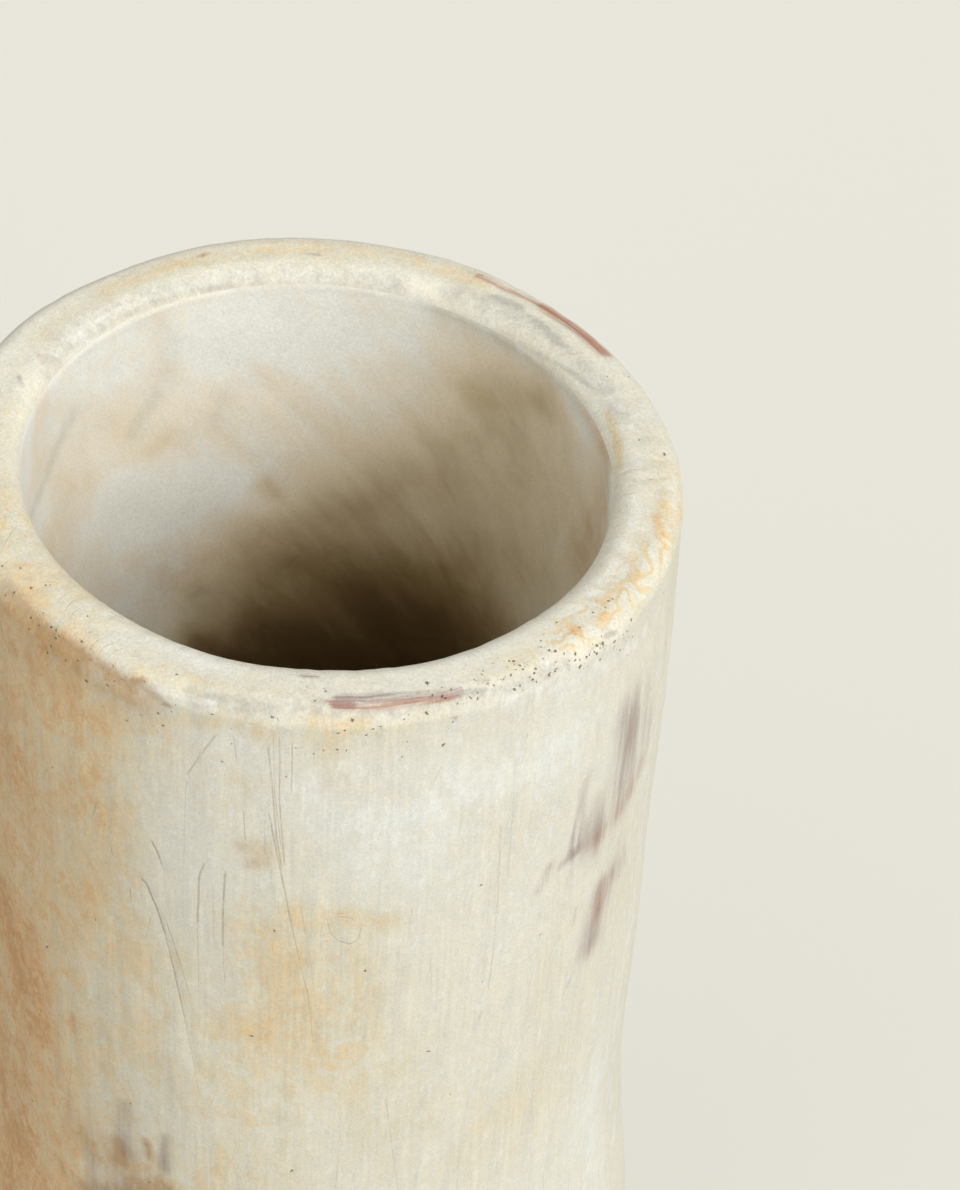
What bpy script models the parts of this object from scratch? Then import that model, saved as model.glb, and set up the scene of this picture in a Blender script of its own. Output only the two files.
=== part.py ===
# A hand-built stoneware vase, in metres, with +Z up. The origin is on the surface that the vase stands on,
# under the centre of its foot. -Y is the front, and the mouth dips a little towards +X.
#
# From the bottom up: felt pads, a base slab, the wall that stands on it, a coil pressed into the floor's
# corner, and a thick coil that makes the lip. A coat of slip covers the outside, and a glaze lines the
# inside.

import math

import bmesh
import bpy

# Driving dimensions: the outside
MOUTH_HEIGHT = 0.2985  # centre of the lip's top above the surface that the vase stands on
MOUTH_SLANT = math.radians(2.1)  # how far the lip's top is out of level
SLANT_DEPTH = 0.150  # height of wall, below the mouth, over which that slant comes in
LIP_RADIUS = 0.0600  # outside of the lip
NECK_RADIUS = 0.0606  # straight upper part of the wall
LIP_TAPER = 0.024  # height over which the neck draws in to the lip
BELLY_RADIUS = 0.0662  # widest part, low on the wall
BELLY_HEIGHT = 0.090
NECK_BOTTOM = 0.166  # height where the wall starts to swell below the neck
FOOT_RADIUS = 0.0600
FOOT_EDGE = 0.0035  # rounding of the foot's lower edge

# Driving dimensions: the clay
WALL_THICKNESS = 0.0117  # from the outside of the slip to the inside of the glaze
LIP_OUTER_EDGE = 0.0036  # rounding of the lip, outside
LIP_INNER_EDGE = 0.0040  # rounding of the lip, inside
SLIP_REACH = 75.0  # degrees of that inner rounding that the slip covers; the glaze starts below it
RIM_COIL_HEIGHT = 0.017
RIM_JOINT_CROWN = 0.0015  # how far the wall's rounded top stands into the rim coil
BASE_THICKNESS = 0.0110
FLOOR_CORNER = 0.0080  # rounding of the finished corner between the inside and the floor

# Driving dimensions: coats and pads
SLIP_THICKNESS = 0.0008
GLAZE_THICKNESS = 0.0008
BARE_FOOT = 0.0060  # height of the base slab's side that the slip leaves bare
PAD_COUNT = 4
PAD_RADIUS = 0.0070
PAD_THICKNESS = 0.0020
PAD_INSET = 0.0140  # from the foot's outside to a pad's centre

# Clearance between pieces that touch, and how finely the round shapes are made
CLEARANCE = 0.0003
SEGMENTS = 48
SWELL_ROWS = 8
ARC_STEPS = 3
PAD_SEGMENTS = 24
SHARP_EDGE = math.radians(40)

# Places worked out from the sizes above
BASE_BOTTOM = PAD_THICKNESS + CLEARANCE
BASE_TOP = BASE_BOTTOM + BASE_THICKNESS
WALL_BOTTOM = BASE_TOP + CLEARANCE
FLOOR_HEIGHT = BASE_TOP + CLEARANCE + GLAZE_THICKNESS
CORNER_TOP = FLOOR_HEIGHT + FLOOR_CORNER
LIP_BOTTOM = MOUTH_HEIGHT - LIP_OUTER_EDGE
TAPER_BOTTOM = LIP_BOTTOM - LIP_TAPER
RIM_JOINT = MOUTH_HEIGHT - RIM_COIL_HEIGHT
MOUTH_RADIUS = LIP_RADIUS - WALL_THICKNESS
LIP_INNER_CENTRE = MOUTH_RADIUS + LIP_INNER_EDGE  # radius of the inner rounding's centre line
UNDER_SLIP = SLIP_THICKNESS + CLEARANCE
UNDER_GLAZE = GLAZE_THICKNESS + CLEARANCE
HALF_GAP = math.degrees(CLEARANCE / 2 / (LIP_INNER_EDGE - max(SLIP_THICKNESS, GLAZE_THICKNESS)))
SLIP_END = 90 + SLIP_REACH - HALF_GAP  # angles on the inner rounding, in degrees from +X
GLAZE_START = 90 + SLIP_REACH + HALF_GAP

# Heights at which every piece has a row of points, so that no coat cuts through the clay it lies on
SWELL_STEP = (NECK_BOTTOM - CORNER_TOP) / SWELL_ROWS
ROW_HEIGHTS = sorted(
    [CORNER_TOP + SWELL_STEP * row for row in range(SWELL_ROWS + 1)] + [WALL_BOTTOM, TAPER_BOTTOM, RIM_JOINT]
)
LEAST_ROW = 0.001  # rows nearer than this to a piece's own end are left out


def ease(share):
    """0 below 0, 1 above 1, and a smooth step between."""
    share = min(max(share, 0.0), 1.0)
    return share * share * (3 - 2 * share)


def outer_radius(z):
    """Radius of the finished outside at a height, before the mouth's slant."""
    if z < BELLY_HEIGHT:
        below = (BELLY_HEIGHT - z) / (BELLY_HEIGHT - BASE_BOTTOM)
        return BELLY_RADIUS - (BELLY_RADIUS - FOOT_RADIUS) * below**2
    swell = ease((NECK_BOTTOM - z) / (NECK_BOTTOM - BELLY_HEIGHT))
    draw_in = ease((z - TAPER_BOTTOM) / LIP_TAPER)
    neck = NECK_RADIUS + (LIP_RADIUS - NECK_RADIUS) * draw_in
    return neck + (BELLY_RADIUS - neck) * swell


def inner_radius(z):
    """Radius of the finished inside at a height, before the mouth's slant, and straight at the floor."""
    return outer_radius(max(z, CORNER_TOP)) - WALL_THICKNESS


def slanted(x, z):
    """The height of a point once the mouth's slant is put in: none low down, all of it at the lip."""
    share = ease((z - (MOUTH_HEIGHT - SLANT_DEPTH)) / SLANT_DEPTH)
    return z - math.tan(MOUTH_SLANT) * share * x


def rows(low, high):
    """The heights between two ends that every piece shares, with both ends."""
    return [low] + [z for z in ROW_HEIGHTS if low + LEAST_ROW < z < high - LEAST_ROW] + [high]


def outside(depth, low, high):
    """Points up the outside, this deep under its finished surface."""
    return [(outer_radius(z) - depth, z) for z in rows(low, high)]


def inside(depth, low, high):
    """Points up the inside, this deep under its finished surface."""
    return [(inner_radius(z) + depth, z) for z in rows(low, high)]


def arc(centre_x, centre_z, radius, start, end):
    """Points of a round corner in the XZ plane, both ends included, with its angles in degrees from +X."""
    angles = [math.radians(start + (end - start) * step / ARC_STEPS) for step in range(ARC_STEPS + 1)]
    return [(centre_x + radius * math.cos(a), centre_z + radius * math.sin(a)) for a in angles]


def lip_outside(depth):
    """The lip's outer rounding, from the wall up to its top."""
    return arc(LIP_RADIUS - LIP_OUTER_EDGE, LIP_BOTTOM, LIP_OUTER_EDGE - depth, 0, 90)


def lip_inside(depth, start, end):
    """The lip's inner rounding between two angles: 90 is its top, and 180 is where the inside starts."""
    return arc(LIP_INNER_CENTRE, MOUTH_HEIGHT - LIP_INNER_EDGE, LIP_INNER_EDGE - depth, start, end)


def floor_corner(depth, start=0, end=-90):
    """The hollow corner from the inside down to the floor."""
    return arc(inner_radius(CORNER_TOP) - FLOOR_CORNER, CORNER_TOP, FLOOR_CORNER + depth, start, end)


def joint_line(height):
    """The wall's rounded top, from its outside to its inside, raised by this height."""
    outer = outer_radius(RIM_JOINT) - UNDER_SLIP
    inner = inner_radius(RIM_JOINT) + UNDER_GLAZE
    line = []
    for step in range(ARC_STEPS + 2):
        across = step / (ARC_STEPS + 1)
        crown = RIM_JOINT_CROWN * 4 * across * (1 - across)
        line.append((outer + (inner - outer) * across, RIM_JOINT + height + crown))
    return line


def add_piece(name, mesh, colour, roughness):
    """Puts a mesh in the scene as one piece with a material of its own."""
    mesh.shade_smooth()
    mesh.set_sharp_from_angle(angle=SHARP_EDGE)
    material = bpy.data.materials.new(name)
    material.use_nodes = True
    shader = material.node_tree.nodes["Principled BSDF"]
    shader.inputs["Base Color"].default_value = (*colour, 1.0)
    shader.inputs["Roughness"].default_value = roughness
    shader.inputs["Metallic"].default_value = 0.0
    mesh.materials.append(material)
    piece = bpy.data.objects.new(name, mesh)
    bpy.context.scene.collection.objects.link(piece)
    return piece


def turned(name, section, closed=True):
    """The mesh that a section in the XZ plane makes when it is turned round Z, with the mouth's slant put in.
    A section that isn't closed starts and ends on the axis."""
    shape = bmesh.new()
    points = [shape.verts.new((x, 0.0, z)) for x, z in section]
    edges = [shape.edges.new(pair) for pair in zip(points, points[1:])]
    if closed:
        edges.append(shape.edges.new((points[-1], points[0])))
    bmesh.ops.spin(
        shape,
        geom=points + edges,
        cent=(0.0, 0.0, 0.0),
        axis=(0.0, 0.0, 1.0),
        angle=math.tau,
        steps=SEGMENTS,
        use_merge=True,
    )
    bmesh.ops.remove_doubles(shape, verts=shape.verts, dist=1e-6)
    for vert in shape.verts:
        vert.co.z = slanted(vert.co.x, vert.co.z)
    bmesh.ops.recalc_face_normals(shape, faces=shape.faces)
    mesh = bpy.data.meshes.new(name)
    shape.to_mesh(mesh)
    shape.free()
    return mesh


def make_felt_pads():
    """The felt dots under the foot, evenly round it."""
    ring = FOOT_RADIUS - PAD_INSET
    for number in range(PAD_COUNT):
        name = f"felt_pad_{number + 1}"
        shape = bmesh.new()
        bmesh.ops.create_cone(
            shape,
            cap_ends=True,
            segments=PAD_SEGMENTS,
            radius1=PAD_RADIUS,
            radius2=PAD_RADIUS,
            depth=PAD_THICKNESS,
        )
        mesh = bpy.data.meshes.new(name)
        shape.to_mesh(mesh)
        shape.free()
        pad = add_piece(name, mesh, (0.30, 0.29, 0.27), 0.95)
        angle = math.tau * (number + 0.5) / PAD_COUNT
        pad.location = (ring * math.cos(angle), ring * math.sin(angle), PAD_THICKNESS / 2)


def make_base_slab():
    """The disc that closes the bottom, in line with the wall, with a rounded lower edge."""
    edge_top = BASE_BOTTOM + FOOT_EDGE
    foot = outer_radius(edge_top) - UNDER_SLIP
    edge = arc(foot - FOOT_EDGE, edge_top, FOOT_EDGE, -90, 0)
    side = outside(UNDER_SLIP, edge_top, BASE_TOP)
    section = [(0.0, BASE_BOTTOM)] + edge[:-1] + side + [(0.0, BASE_TOP)]
    add_piece("base_slab", turned("base_slab", section, closed=False), (0.50, 0.27, 0.18), 0.85)


def make_wall():
    """The tube between the base slab and the rim coil, with a rounded top."""
    outer = outside(UNDER_SLIP, WALL_BOTTOM, RIM_JOINT)
    inner = inside(UNDER_GLAZE, WALL_BOTTOM, RIM_JOINT)
    section = outer[:-1] + joint_line(0.0) + inner[-2::-1]
    add_piece("wall", turned("wall", section), (0.52, 0.28, 0.19), 0.85)


def make_floor_coil():
    """The coil pressed into the corner between base slab and wall, hollowed by a finger run round it."""
    bottom = BASE_TOP + CLEARANCE
    back = inner_radius(CORNER_TOP) + UNDER_GLAZE - CLEARANCE
    tip = math.degrees(math.acos((FLOOR_CORNER + GLAZE_THICKNESS / 2) / (FLOOR_CORNER + UNDER_GLAZE)))
    face = floor_corner(UNDER_GLAZE, -tip, tip - 90)
    section = [(face[-1][0], bottom), (back, bottom), (back, face[0][1])] + face
    add_piece("floor_coil", turned("floor_coil", section), (0.52, 0.28, 0.19), 0.85)


def make_rim_coil():
    """The coil that sits on the wall's rounded top and makes the lip."""
    low = RIM_JOINT + CLEARANCE
    outer = outside(UNDER_SLIP, low, LIP_BOTTOM)
    inner = inside(UNDER_GLAZE, low, MOUTH_HEIGHT - LIP_INNER_EDGE)
    top = lip_outside(UNDER_SLIP) + lip_inside(UNDER_SLIP, 90, SLIP_END)
    lip = top + lip_inside(UNDER_GLAZE, GLAZE_START, 180)
    section = outer[1:-1] + lip + inner[-2:0:-1] + joint_line(CLEARANCE)[::-1]
    add_piece("rim_coil", turned("rim_coil", section), (0.54, 0.29, 0.20), 0.85)


def make_outer_slip():
    """The slip coat, up the outside from above the bare foot, over the lip and a little way inside."""
    low = BASE_BOTTOM + BARE_FOOT

    def layer(depth):
        lip = lip_outside(depth) + lip_inside(depth, 90, SLIP_END)
        return outside(depth, low, LIP_BOTTOM)[:-1] + lip

    section = layer(0.0) + layer(SLIP_THICKNESS)[::-1]
    add_piece("outer_slip", turned("outer_slip", section), (0.80, 0.75, 0.62), 0.75)


def make_liner_glaze():
    """The lining, from where the slip ends down the inside and over the floor."""
    lip_end = MOUTH_HEIGHT - LIP_INNER_EDGE

    def layer(depth):
        lip = lip_inside(depth, GLAZE_START, 180)[:-1]
        floor = floor_corner(depth)[1:] + [(0.0, FLOOR_HEIGHT - depth)]
        return lip + inside(depth, CORNER_TOP, lip_end)[::-1] + floor

    section = layer(0.0)[::-1] + layer(GLAZE_THICKNESS)
    add_piece("liner_glaze", turned("liner_glaze", section, closed=False), (0.74, 0.72, 0.64), 0.40)


def main():
    for old in list(bpy.data.objects):
        bpy.data.objects.remove(old, do_unlink=True)
    make_felt_pads()
    make_base_slab()
    make_wall()
    make_floor_coil()
    make_rim_coil()
    make_outer_slip()
    make_liner_glaze()


main()
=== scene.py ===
import math

import bpy
import numpy as np
from mathutils import Matrix


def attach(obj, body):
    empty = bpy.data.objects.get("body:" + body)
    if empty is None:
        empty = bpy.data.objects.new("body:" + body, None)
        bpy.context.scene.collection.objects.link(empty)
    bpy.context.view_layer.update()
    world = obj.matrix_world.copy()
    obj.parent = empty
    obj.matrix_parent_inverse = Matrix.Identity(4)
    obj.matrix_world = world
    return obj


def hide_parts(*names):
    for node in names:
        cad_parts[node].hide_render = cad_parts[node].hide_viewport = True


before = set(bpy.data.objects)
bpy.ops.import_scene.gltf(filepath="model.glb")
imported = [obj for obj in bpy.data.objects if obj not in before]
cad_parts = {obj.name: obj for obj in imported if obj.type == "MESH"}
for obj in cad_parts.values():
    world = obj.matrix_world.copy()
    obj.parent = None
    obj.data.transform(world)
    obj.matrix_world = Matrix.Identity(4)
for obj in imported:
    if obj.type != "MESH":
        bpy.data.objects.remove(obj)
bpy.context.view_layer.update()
print("frame: loaded", sorted(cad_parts))

# The vase's section, in metres and degrees
vaseShape = {
    "mouthHeight": 0.2985,
    "mouthSlant": 2.1,
    "slantDepth": 0.150,
    "lipRadius": 0.0600,
    "neckRadius": 0.0606,
    "lipTaper": 0.024,
    "bellyRadius": 0.0662,
    "bellyHeight": 0.090,
    "neckBottom": 0.166,
    "footRadius": 0.0600,
    "footEdge": 0.0035,
    "wallThickness": 0.0117,
    "lipOuterEdge": 0.0036,
    "lipInnerEdge": 0.0040,
    "slipReach": 75.0,
    "baseBottom": 0.0023,
    "baseThickness": 0.0110,
    "bareFoot": 0.0060,
    "floorCorner": 0.0080,
    "coat": 0.0008,
    "clearance": 0.0003,
}
lipBottom = vaseShape["mouthHeight"] - vaseShape["lipOuterEdge"]
taperBottom = lipBottom - vaseShape["lipTaper"]
baseTop = vaseShape["baseBottom"] + vaseShape["baseThickness"]
floorHeight = baseTop + vaseShape["clearance"] + vaseShape["coat"]
cornerTop = floorHeight + vaseShape["floorCorner"]

# The camera that took the picture: metres from the mouth's centre, and degrees
photoCamera = {
    "lens": 100.0,
    "sensor": 36.0,
    "width": 960,
    "height": 1190,
    "back": 0.4098,
    "above": 0.3509,
    "yaw": 3.88,
    "pitch": 42.90,
    "roll": 4.0,
}


def ease(share):
    # 0 below 0, 1 above 1, and 3t^2 - 2t^3 between
    share = np.clip(share, 0.0, 1.0)
    return share * share * (3 - 2 * share)


def linearColour(hexColour):
    # sRGB hex to linear, each channel ((c + 0.055) / 1.055)^2.4
    channels = [int(hexColour[i : i + 2], 16) / 255 for i in (1, 3, 5)]
    return [c / 12.92 if c <= 0.04045 else ((c + 0.055) / 1.055) ** 2.4 for c in channels] + [1.0]


# Camera

yaw, pitch, roll = (math.radians(photoCamera[turn]) for turn in ("yaw", "pitch", "roll"))
eye = np.array([0.0, -photoCamera["back"], vaseShape["mouthHeight"] + photoCamera["above"]])
lookAhead = np.array([math.sin(yaw) * math.cos(pitch), math.cos(yaw) * math.cos(pitch), -math.sin(pitch)])
levelRight = np.array([math.cos(yaw), -math.sin(yaw), 0.0])
levelUp = np.cross(levelRight, lookAhead)
lookRight = math.cos(roll) * levelRight + math.sin(roll) * levelUp
lookUp = math.cos(roll) * levelUp - math.sin(roll) * levelRight
focalPixels = photoCamera["lens"] / photoCamera["sensor"] * photoCamera["height"]


def toPixels(points):
    # Pinhole projection: sideways and upward parts over the part straight ahead, times the focal length
    offset = points - eye
    ahead = offset @ lookAhead
    across = photoCamera["width"] / 2 + focalPixels * (offset @ lookRight) / ahead
    down = photoCamera["height"] / 2 - focalPixels * (offset @ lookUp) / ahead
    return np.stack([across, down], -1)


def makeCamera():
    data = bpy.data.cameras.new("photoCamera")
    data.lens = photoCamera["lens"]
    data.sensor_width = photoCamera["sensor"]
    data.clip_start = 0.01
    data.clip_end = 50.0
    camera = bpy.data.objects.new("photoCamera", data)
    axes = np.stack([lookRight, lookUp, -lookAhead, eye], -1)
    camera.matrix_world = Matrix([*axes.tolist(), [0, 0, 0, 1]])
    bpy.context.scene.collection.objects.link(camera)
    bpy.context.scene.camera = camera


makeCamera()
print("camera: placed at", eye.round(4).tolist())

# The section's curves


def outerRadius(height):
    # A parabola below the belly; above it one smooth step to the neck and one more from the neck to the
    # lip
    s = vaseShape
    below = (s["bellyHeight"] - height) / (s["bellyHeight"] - s["baseBottom"])
    footPart = s["bellyRadius"] - (s["bellyRadius"] - s["footRadius"]) * below**2
    swell = ease((s["neckBottom"] - height) / (s["neckBottom"] - s["bellyHeight"]))
    drawIn = ease((height - taperBottom) / s["lipTaper"])
    neck = s["neckRadius"] + (s["lipRadius"] - s["neckRadius"]) * drawIn
    return np.where(height < s["bellyHeight"], footPart, neck + (s["bellyRadius"] - neck) * swell)


def innerRadius(height):
    return outerRadius(np.maximum(height, cornerTop)) - vaseShape["wallThickness"]


def slantDrop(x, height):
    # How much lower the slanted mouth puts a point: the slant's tangent times x, eased in up the neck
    share = ease((height - (vaseShape["mouthHeight"] - vaseShape["slantDepth"])) / vaseShape["slantDepth"])
    return math.tan(math.radians(vaseShape["mouthSlant"])) * share * x


def arcPoints(centreRadius, centreHeight, radius, start, end, count=40):
    turn = np.radians(np.linspace(start, end, count))
    return np.stack([centreRadius + radius * np.cos(turn), centreHeight + radius * np.sin(turn)], -1)


def lipInside(depth, start, end):
    s = vaseShape
    centre = s["lipRadius"] - s["wallThickness"] + s["lipInnerEdge"]
    return arcPoints(centre, s["mouthHeight"] - s["lipInnerEdge"], s["lipInnerEdge"] - depth, start, end)


def slipPath(depth):
    # From inside the lip, over its top and down the outside to the bare foot, this deep under the surface
    s = vaseShape
    over = lipInside(depth, 90 + s["slipReach"], 90)
    edge = arcPoints(s["lipRadius"] - s["lipOuterEdge"], lipBottom, s["lipOuterEdge"] - depth, 90, 0)
    heights = np.linspace(lipBottom, s["baseBottom"] + s["bareFoot"], 700)[1:]
    wall = np.stack([outerRadius(heights) - depth, heights], -1)
    return np.concatenate([over, edge, wall])


def liningPath(depth):
    # From where the slip ends, down the inside, round the floor's corner and in to the axis
    s = vaseShape
    over = lipInside(depth, 90 + s["slipReach"], 180)
    heights = np.linspace(s["mouthHeight"] - s["lipInnerEdge"], cornerTop, 700)[1:-1]
    wall = np.stack([innerRadius(heights) + depth, heights], -1)
    cornerCentre = innerRadius(cornerTop) - s["floorCorner"]
    corner = arcPoints(cornerCentre, cornerTop, s["floorCorner"] + depth, 0, -90)
    return np.concatenate([over, wall, corner, [[0.0, floorHeight - depth]]])


def footPath():
    # Up the bare foot: from the axis out along the underside, round the edge, up the side and back in
    s = vaseShape
    edgeTop = s["baseBottom"] + s["footEdge"]
    radius = float(outerRadius(np.array(edgeTop))) - s["coat"] - s["clearance"]
    edge = arcPoints(radius - s["footEdge"], edgeTop, s["footEdge"], -90, 0)
    heights = np.linspace(edgeTop, baseTop, 30)[1:]
    side = np.stack([outerRadius(heights) - s["coat"] - s["clearance"], heights], -1)
    return np.concatenate([[[0.0, s["baseBottom"]]], edge, side, [[0.0, baseTop]]])


# Surfaces made from a section


def pathLengths(path):
    return np.concatenate([[0.0], np.cumsum(np.hypot(*np.diff(path, axis=0).T))])


def atPlaces(path, places):
    # Points of a section at distances along it, joined by straight steps
    along = pathLengths(path)
    return np.stack([np.interp(places, along, path[:, k]) for k in (0, 1)], -1)


def rowPlaces(length, bands):
    # Distances along a section: each band runs to its own end with its own pitch
    places = []
    start = 0.0
    for end, pitch in bands:
        end = min(end, length)
        places.append(np.linspace(start, end, max(1, round((end - start) / pitch)), endpoint=False))
        start = end
    return np.concatenate([*places, [length]])


def columnAngles(count, facing, crowding):
    # Even steps t round the vase, drawn towards one side: facing + t - crowding * sin(t)
    t = np.linspace(0, 2 * math.pi, count, endpoint=False)
    return math.radians(facing) + t - crowding * np.sin(t)


def turned(section, angles):
    # Every point of a section at every angle: (r cos a, r sin a, h) with the mouth's slant taken off
    # the height. section is rows of (r, h), or rows by columns of them.
    section = section if section.ndim == 3 else section[:, None, :]
    radius = section[..., 0] * np.ones_like(angles)
    height = section[..., 1] * np.ones_like(angles)
    x = radius * np.cos(angles)
    return np.stack([x, radius * np.sin(angles), height - slantDrop(x, height)], -1)


def ringMesh(name, rings, poles=()):
    # A stack of rings of points joined by four-sided faces. Without poles the last ring joins the
    # first; with two poles, the first and the last ring close on them in a fan. Faces are turned
    # outwards by the signed volume.
    rows, columns = rings.shape[:2]
    index = np.arange(rows * columns).reshape(rows, columns)
    here = index[:-1] if len(poles) else index
    there = index[1:] if len(poles) else np.roll(index, -1, axis=0)
    quads = np.stack([here, np.roll(here, -1, 1), np.roll(there, -1, 1), there], -1).reshape(-1, 4)
    points = rings.reshape(-1, 3)
    fans = []
    if len(poles):
        points = np.concatenate([points, poles])
        first = np.full(columns, rows * columns)
        fans = [
            np.stack([first, np.roll(index[0], -1), index[0]], -1),
            np.stack([first + 1, index[-1], np.roll(index[-1], -1)], -1),
        ]
    a, b, c = (points[quads[:, k]] for k in (0, 1, 2))
    inwards = np.sum(a * np.cross(b, c)) < 0
    faces = [face for group in [quads, *fans] for face in (group[:, ::-1] if inwards else group).tolist()]
    mesh = bpy.data.meshes.new(name)
    mesh.from_pydata(points.tolist(), [], faces)
    mesh.shade_smooth()
    mesh.set_sharp_from_angle(angle=math.radians(50))
    piece = bpy.data.objects.new(name, mesh)
    bpy.context.scene.collection.objects.link(piece)
    return piece


def waves(angle, along, seed, count, around, down, size):
    # A sum of cosines, each with a whole number of turns round the vase, so that it closes on itself,
    # and its own pitch along the section. around and down bound the turns and the waves a metre; size
    # is the sum's spread.
    draw = np.random.default_rng(seed)
    total = np.zeros(np.broadcast(angle, along).shape)
    for _ in range(count):
        turns = draw.integers(around[0], around[1] + 1)
        pitch = draw.uniform(*down) * draw.choice([-1, 1])
        total += np.cos(turns * angle + 2 * math.pi * pitch * along + draw.uniform(0, 2 * math.pi))
    return total * size / math.sqrt(count / 2)


def bumpAt(angle, centre, width):
    # A bell round one direction, both in degrees
    apart = (np.degrees(angle) - centre + 180) % 360 - 180
    return np.exp(-0.5 * (apart / width) ** 2)


def layOut(look, section):
    # The grid of a coat's worked face before it is worked: the section's points turned to every angle,
    # each with the section's normal, its place in the picture, its place on the unrolled face, u round
    # the vase and v down the section, and how fast the picture place changes with the two.
    front = section(0.0)
    length = pathLengths(front)[-1]
    rows = rowPlaces(length, look["bands"])[:-1]
    angles = columnAngles(look["columns"], look["facing"], look["crowding"])
    step = 0.0002
    grazing = 0.03
    plain = atPlaces(front, rows)
    along = atPlaces(front, np.minimum(rows + step, length)) - atPlaces(front, np.maximum(rows - step, 0))
    along /= np.hypot(*along.T)[:, None]
    normal = look["side"] * np.stack([-along[:, 1], along[:, 0]], -1)
    points = turned(plain, angles)
    level = 0 * angles
    outwards = [normal[:, :1] * np.cos(angles), normal[:, :1] * np.sin(angles), normal[:, 1:] + level]
    toEye = eye - points
    pixel = toPixels(points)
    across = angles * look["radius"]
    period = 2 * math.pi * look["radius"]
    wrappedPixel = np.concatenate([pixel[:, -1:], pixel, pixel[:, :1]], 1)
    wrappedAcross = np.concatenate([[across[-1] - period], across, [across[0] + period]])
    return {
        "look": look,
        "section": section,
        "angles": angles,
        "rows": rows,
        "plain": plain,
        "normal": normal,
        "pixel": pixel,
        "facing": (np.stack(outwards, -1) * toEye).sum(-1) > grazing * np.linalg.norm(toEye, axis=-1),
        "perU": np.gradient(wrappedPixel, wrappedAcross, axis=1)[:, 1:-1],
        "perV": np.gradient(pixel, rows, axis=0),
        "u": across[None, :] + 0 * rows[:, None],
        "v": rows[:, None] + 0 * across[None, :],
        "period": period,
    }


def meshOf(name, skin, raised):
    # A coat as a closed mesh: the worked face, which is the grid moved along its normals by raised, and
    # a plain back face at the coat's depth. The slip closes on itself, and the lining on the axis.
    onAxis = skin["look"]["closesOnAxis"]
    lifted = skin["plain"][:, None, :] + skin["normal"][:, None, :] * raised[..., None]
    face = turned(lifted, skin["angles"])
    back = skin["section"](vaseShape["coat"])
    backRows = np.linspace(pathLengths(back)[-1], 0, skin["look"]["backRows"])[1 if onAxis else 0 :]
    under = turned(atPlaces(back, backRows), skin["angles"])
    poles = np.array([[0, 0, floorHeight], [0, 0, floorHeight - vaseShape["coat"]]]) if onAxis else ()
    rings = np.concatenate([face[::-1], under[::-1]] if onAxis else [face, under])
    skin["piece"] = ringMesh(name, rings, poles)
    print(name, "made:", sum(len(face.vertices) - 2 for face in skin["piece"].data.polygons), "triangles")


def giveVectors(skin, name, values):
    # A vector attribute with these values on the worked face and none on the back
    mesh = skin["piece"].data
    front = (values[::-1] if skin["look"]["closesOnAxis"] else values).reshape(-1, 3)
    vectors = np.zeros((len(mesh.vertices), 3), np.float32)
    vectors[: len(front)] = front
    mesh.attributes.new(name, "FLOAT_VECTOR", "POINT").data.foreach_set("vector", vectors.ravel())


# Marks on a surface


def onSurface(skin, picture):
    # Picture points to places (u, v): the nearest grid point that faces the camera, moved by the grid's
    # own slopes. u runs on past the grid's seam, so that a line crosses it the short way.
    places = []
    furthest = 0.0015
    for point in np.array(picture, float):
        gap = point - skin["pixel"]
        nearest = np.where(skin["facing"], (gap**2).sum(-1), np.inf).argmin()
        at = np.unravel_index(nearest, skin["facing"].shape)
        slopes = np.stack([skin["perU"][at], skin["perV"][at]], -1)
        step = np.clip(np.linalg.solve(slopes, gap[at]), -furthest, furthest)
        places.append([skin["u"][at] + step[0], skin["v"][at] + step[1]])
    places = np.array(places)
    half = skin["period"] / 2
    places[:, 0] = places[0, 0] + (places[:, 0] - places[0, 0] + half) % skin["period"] - half
    return places


def nearLine(skin, line):
    # For every grid point, its distance from a line of places, signed by the side of the line that it
    # lies on, and how far inside the line's two ends it is, both by the nearest step of the line
    apart = np.full(skin["u"].shape, np.inf)
    inside = np.zeros(skin["u"].shape)
    steps = np.diff(line, axis=0)
    lengths = np.hypot(*steps.T)
    starts = np.concatenate([[0.0], np.cumsum(lengths)])
    for place, step, length, start in zip(line, steps / lengths[:, None], lengths, starts):
        aroundBy = (skin["u"] - place[0] + skin["period"] / 2) % skin["period"] - skin["period"] / 2
        downBy = skin["v"] - place[1]
        along = aroundBy * step[0] + downBy * step[1]
        held = np.clip(along, 0, length)
        off = np.hypot(aroundBy - held * step[0], downBy - held * step[1])
        side = np.where(aroundBy * step[1] - downBy * step[0] < 0, -1.0, 1.0)
        nearer = off < np.abs(apart)
        apart[nearer] = (off * side)[nearer]
        inside[nearer] = np.minimum(start + along, starts[-1] - start - along)[nearer]
    return apart, inside


def softStroke(skin, line, reach, strength):
    # Full strength on the line, easing out to nothing at this reach in mm
    apart, _ = nearLine(skin, line)
    return strength * ease(1 - np.abs(apart) / (reach * 0.001))


# Where the picture doesn't show the slip: degrees from +X, and metres down the section
unseenParts = {
    "backAround": (8, 188),
    "backDown": (0.014, 0.270),
    "frontAround": (-150, -30),
    "frontDown": (0.150, 0.270),
    "lowest": 0.292,
}


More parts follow.
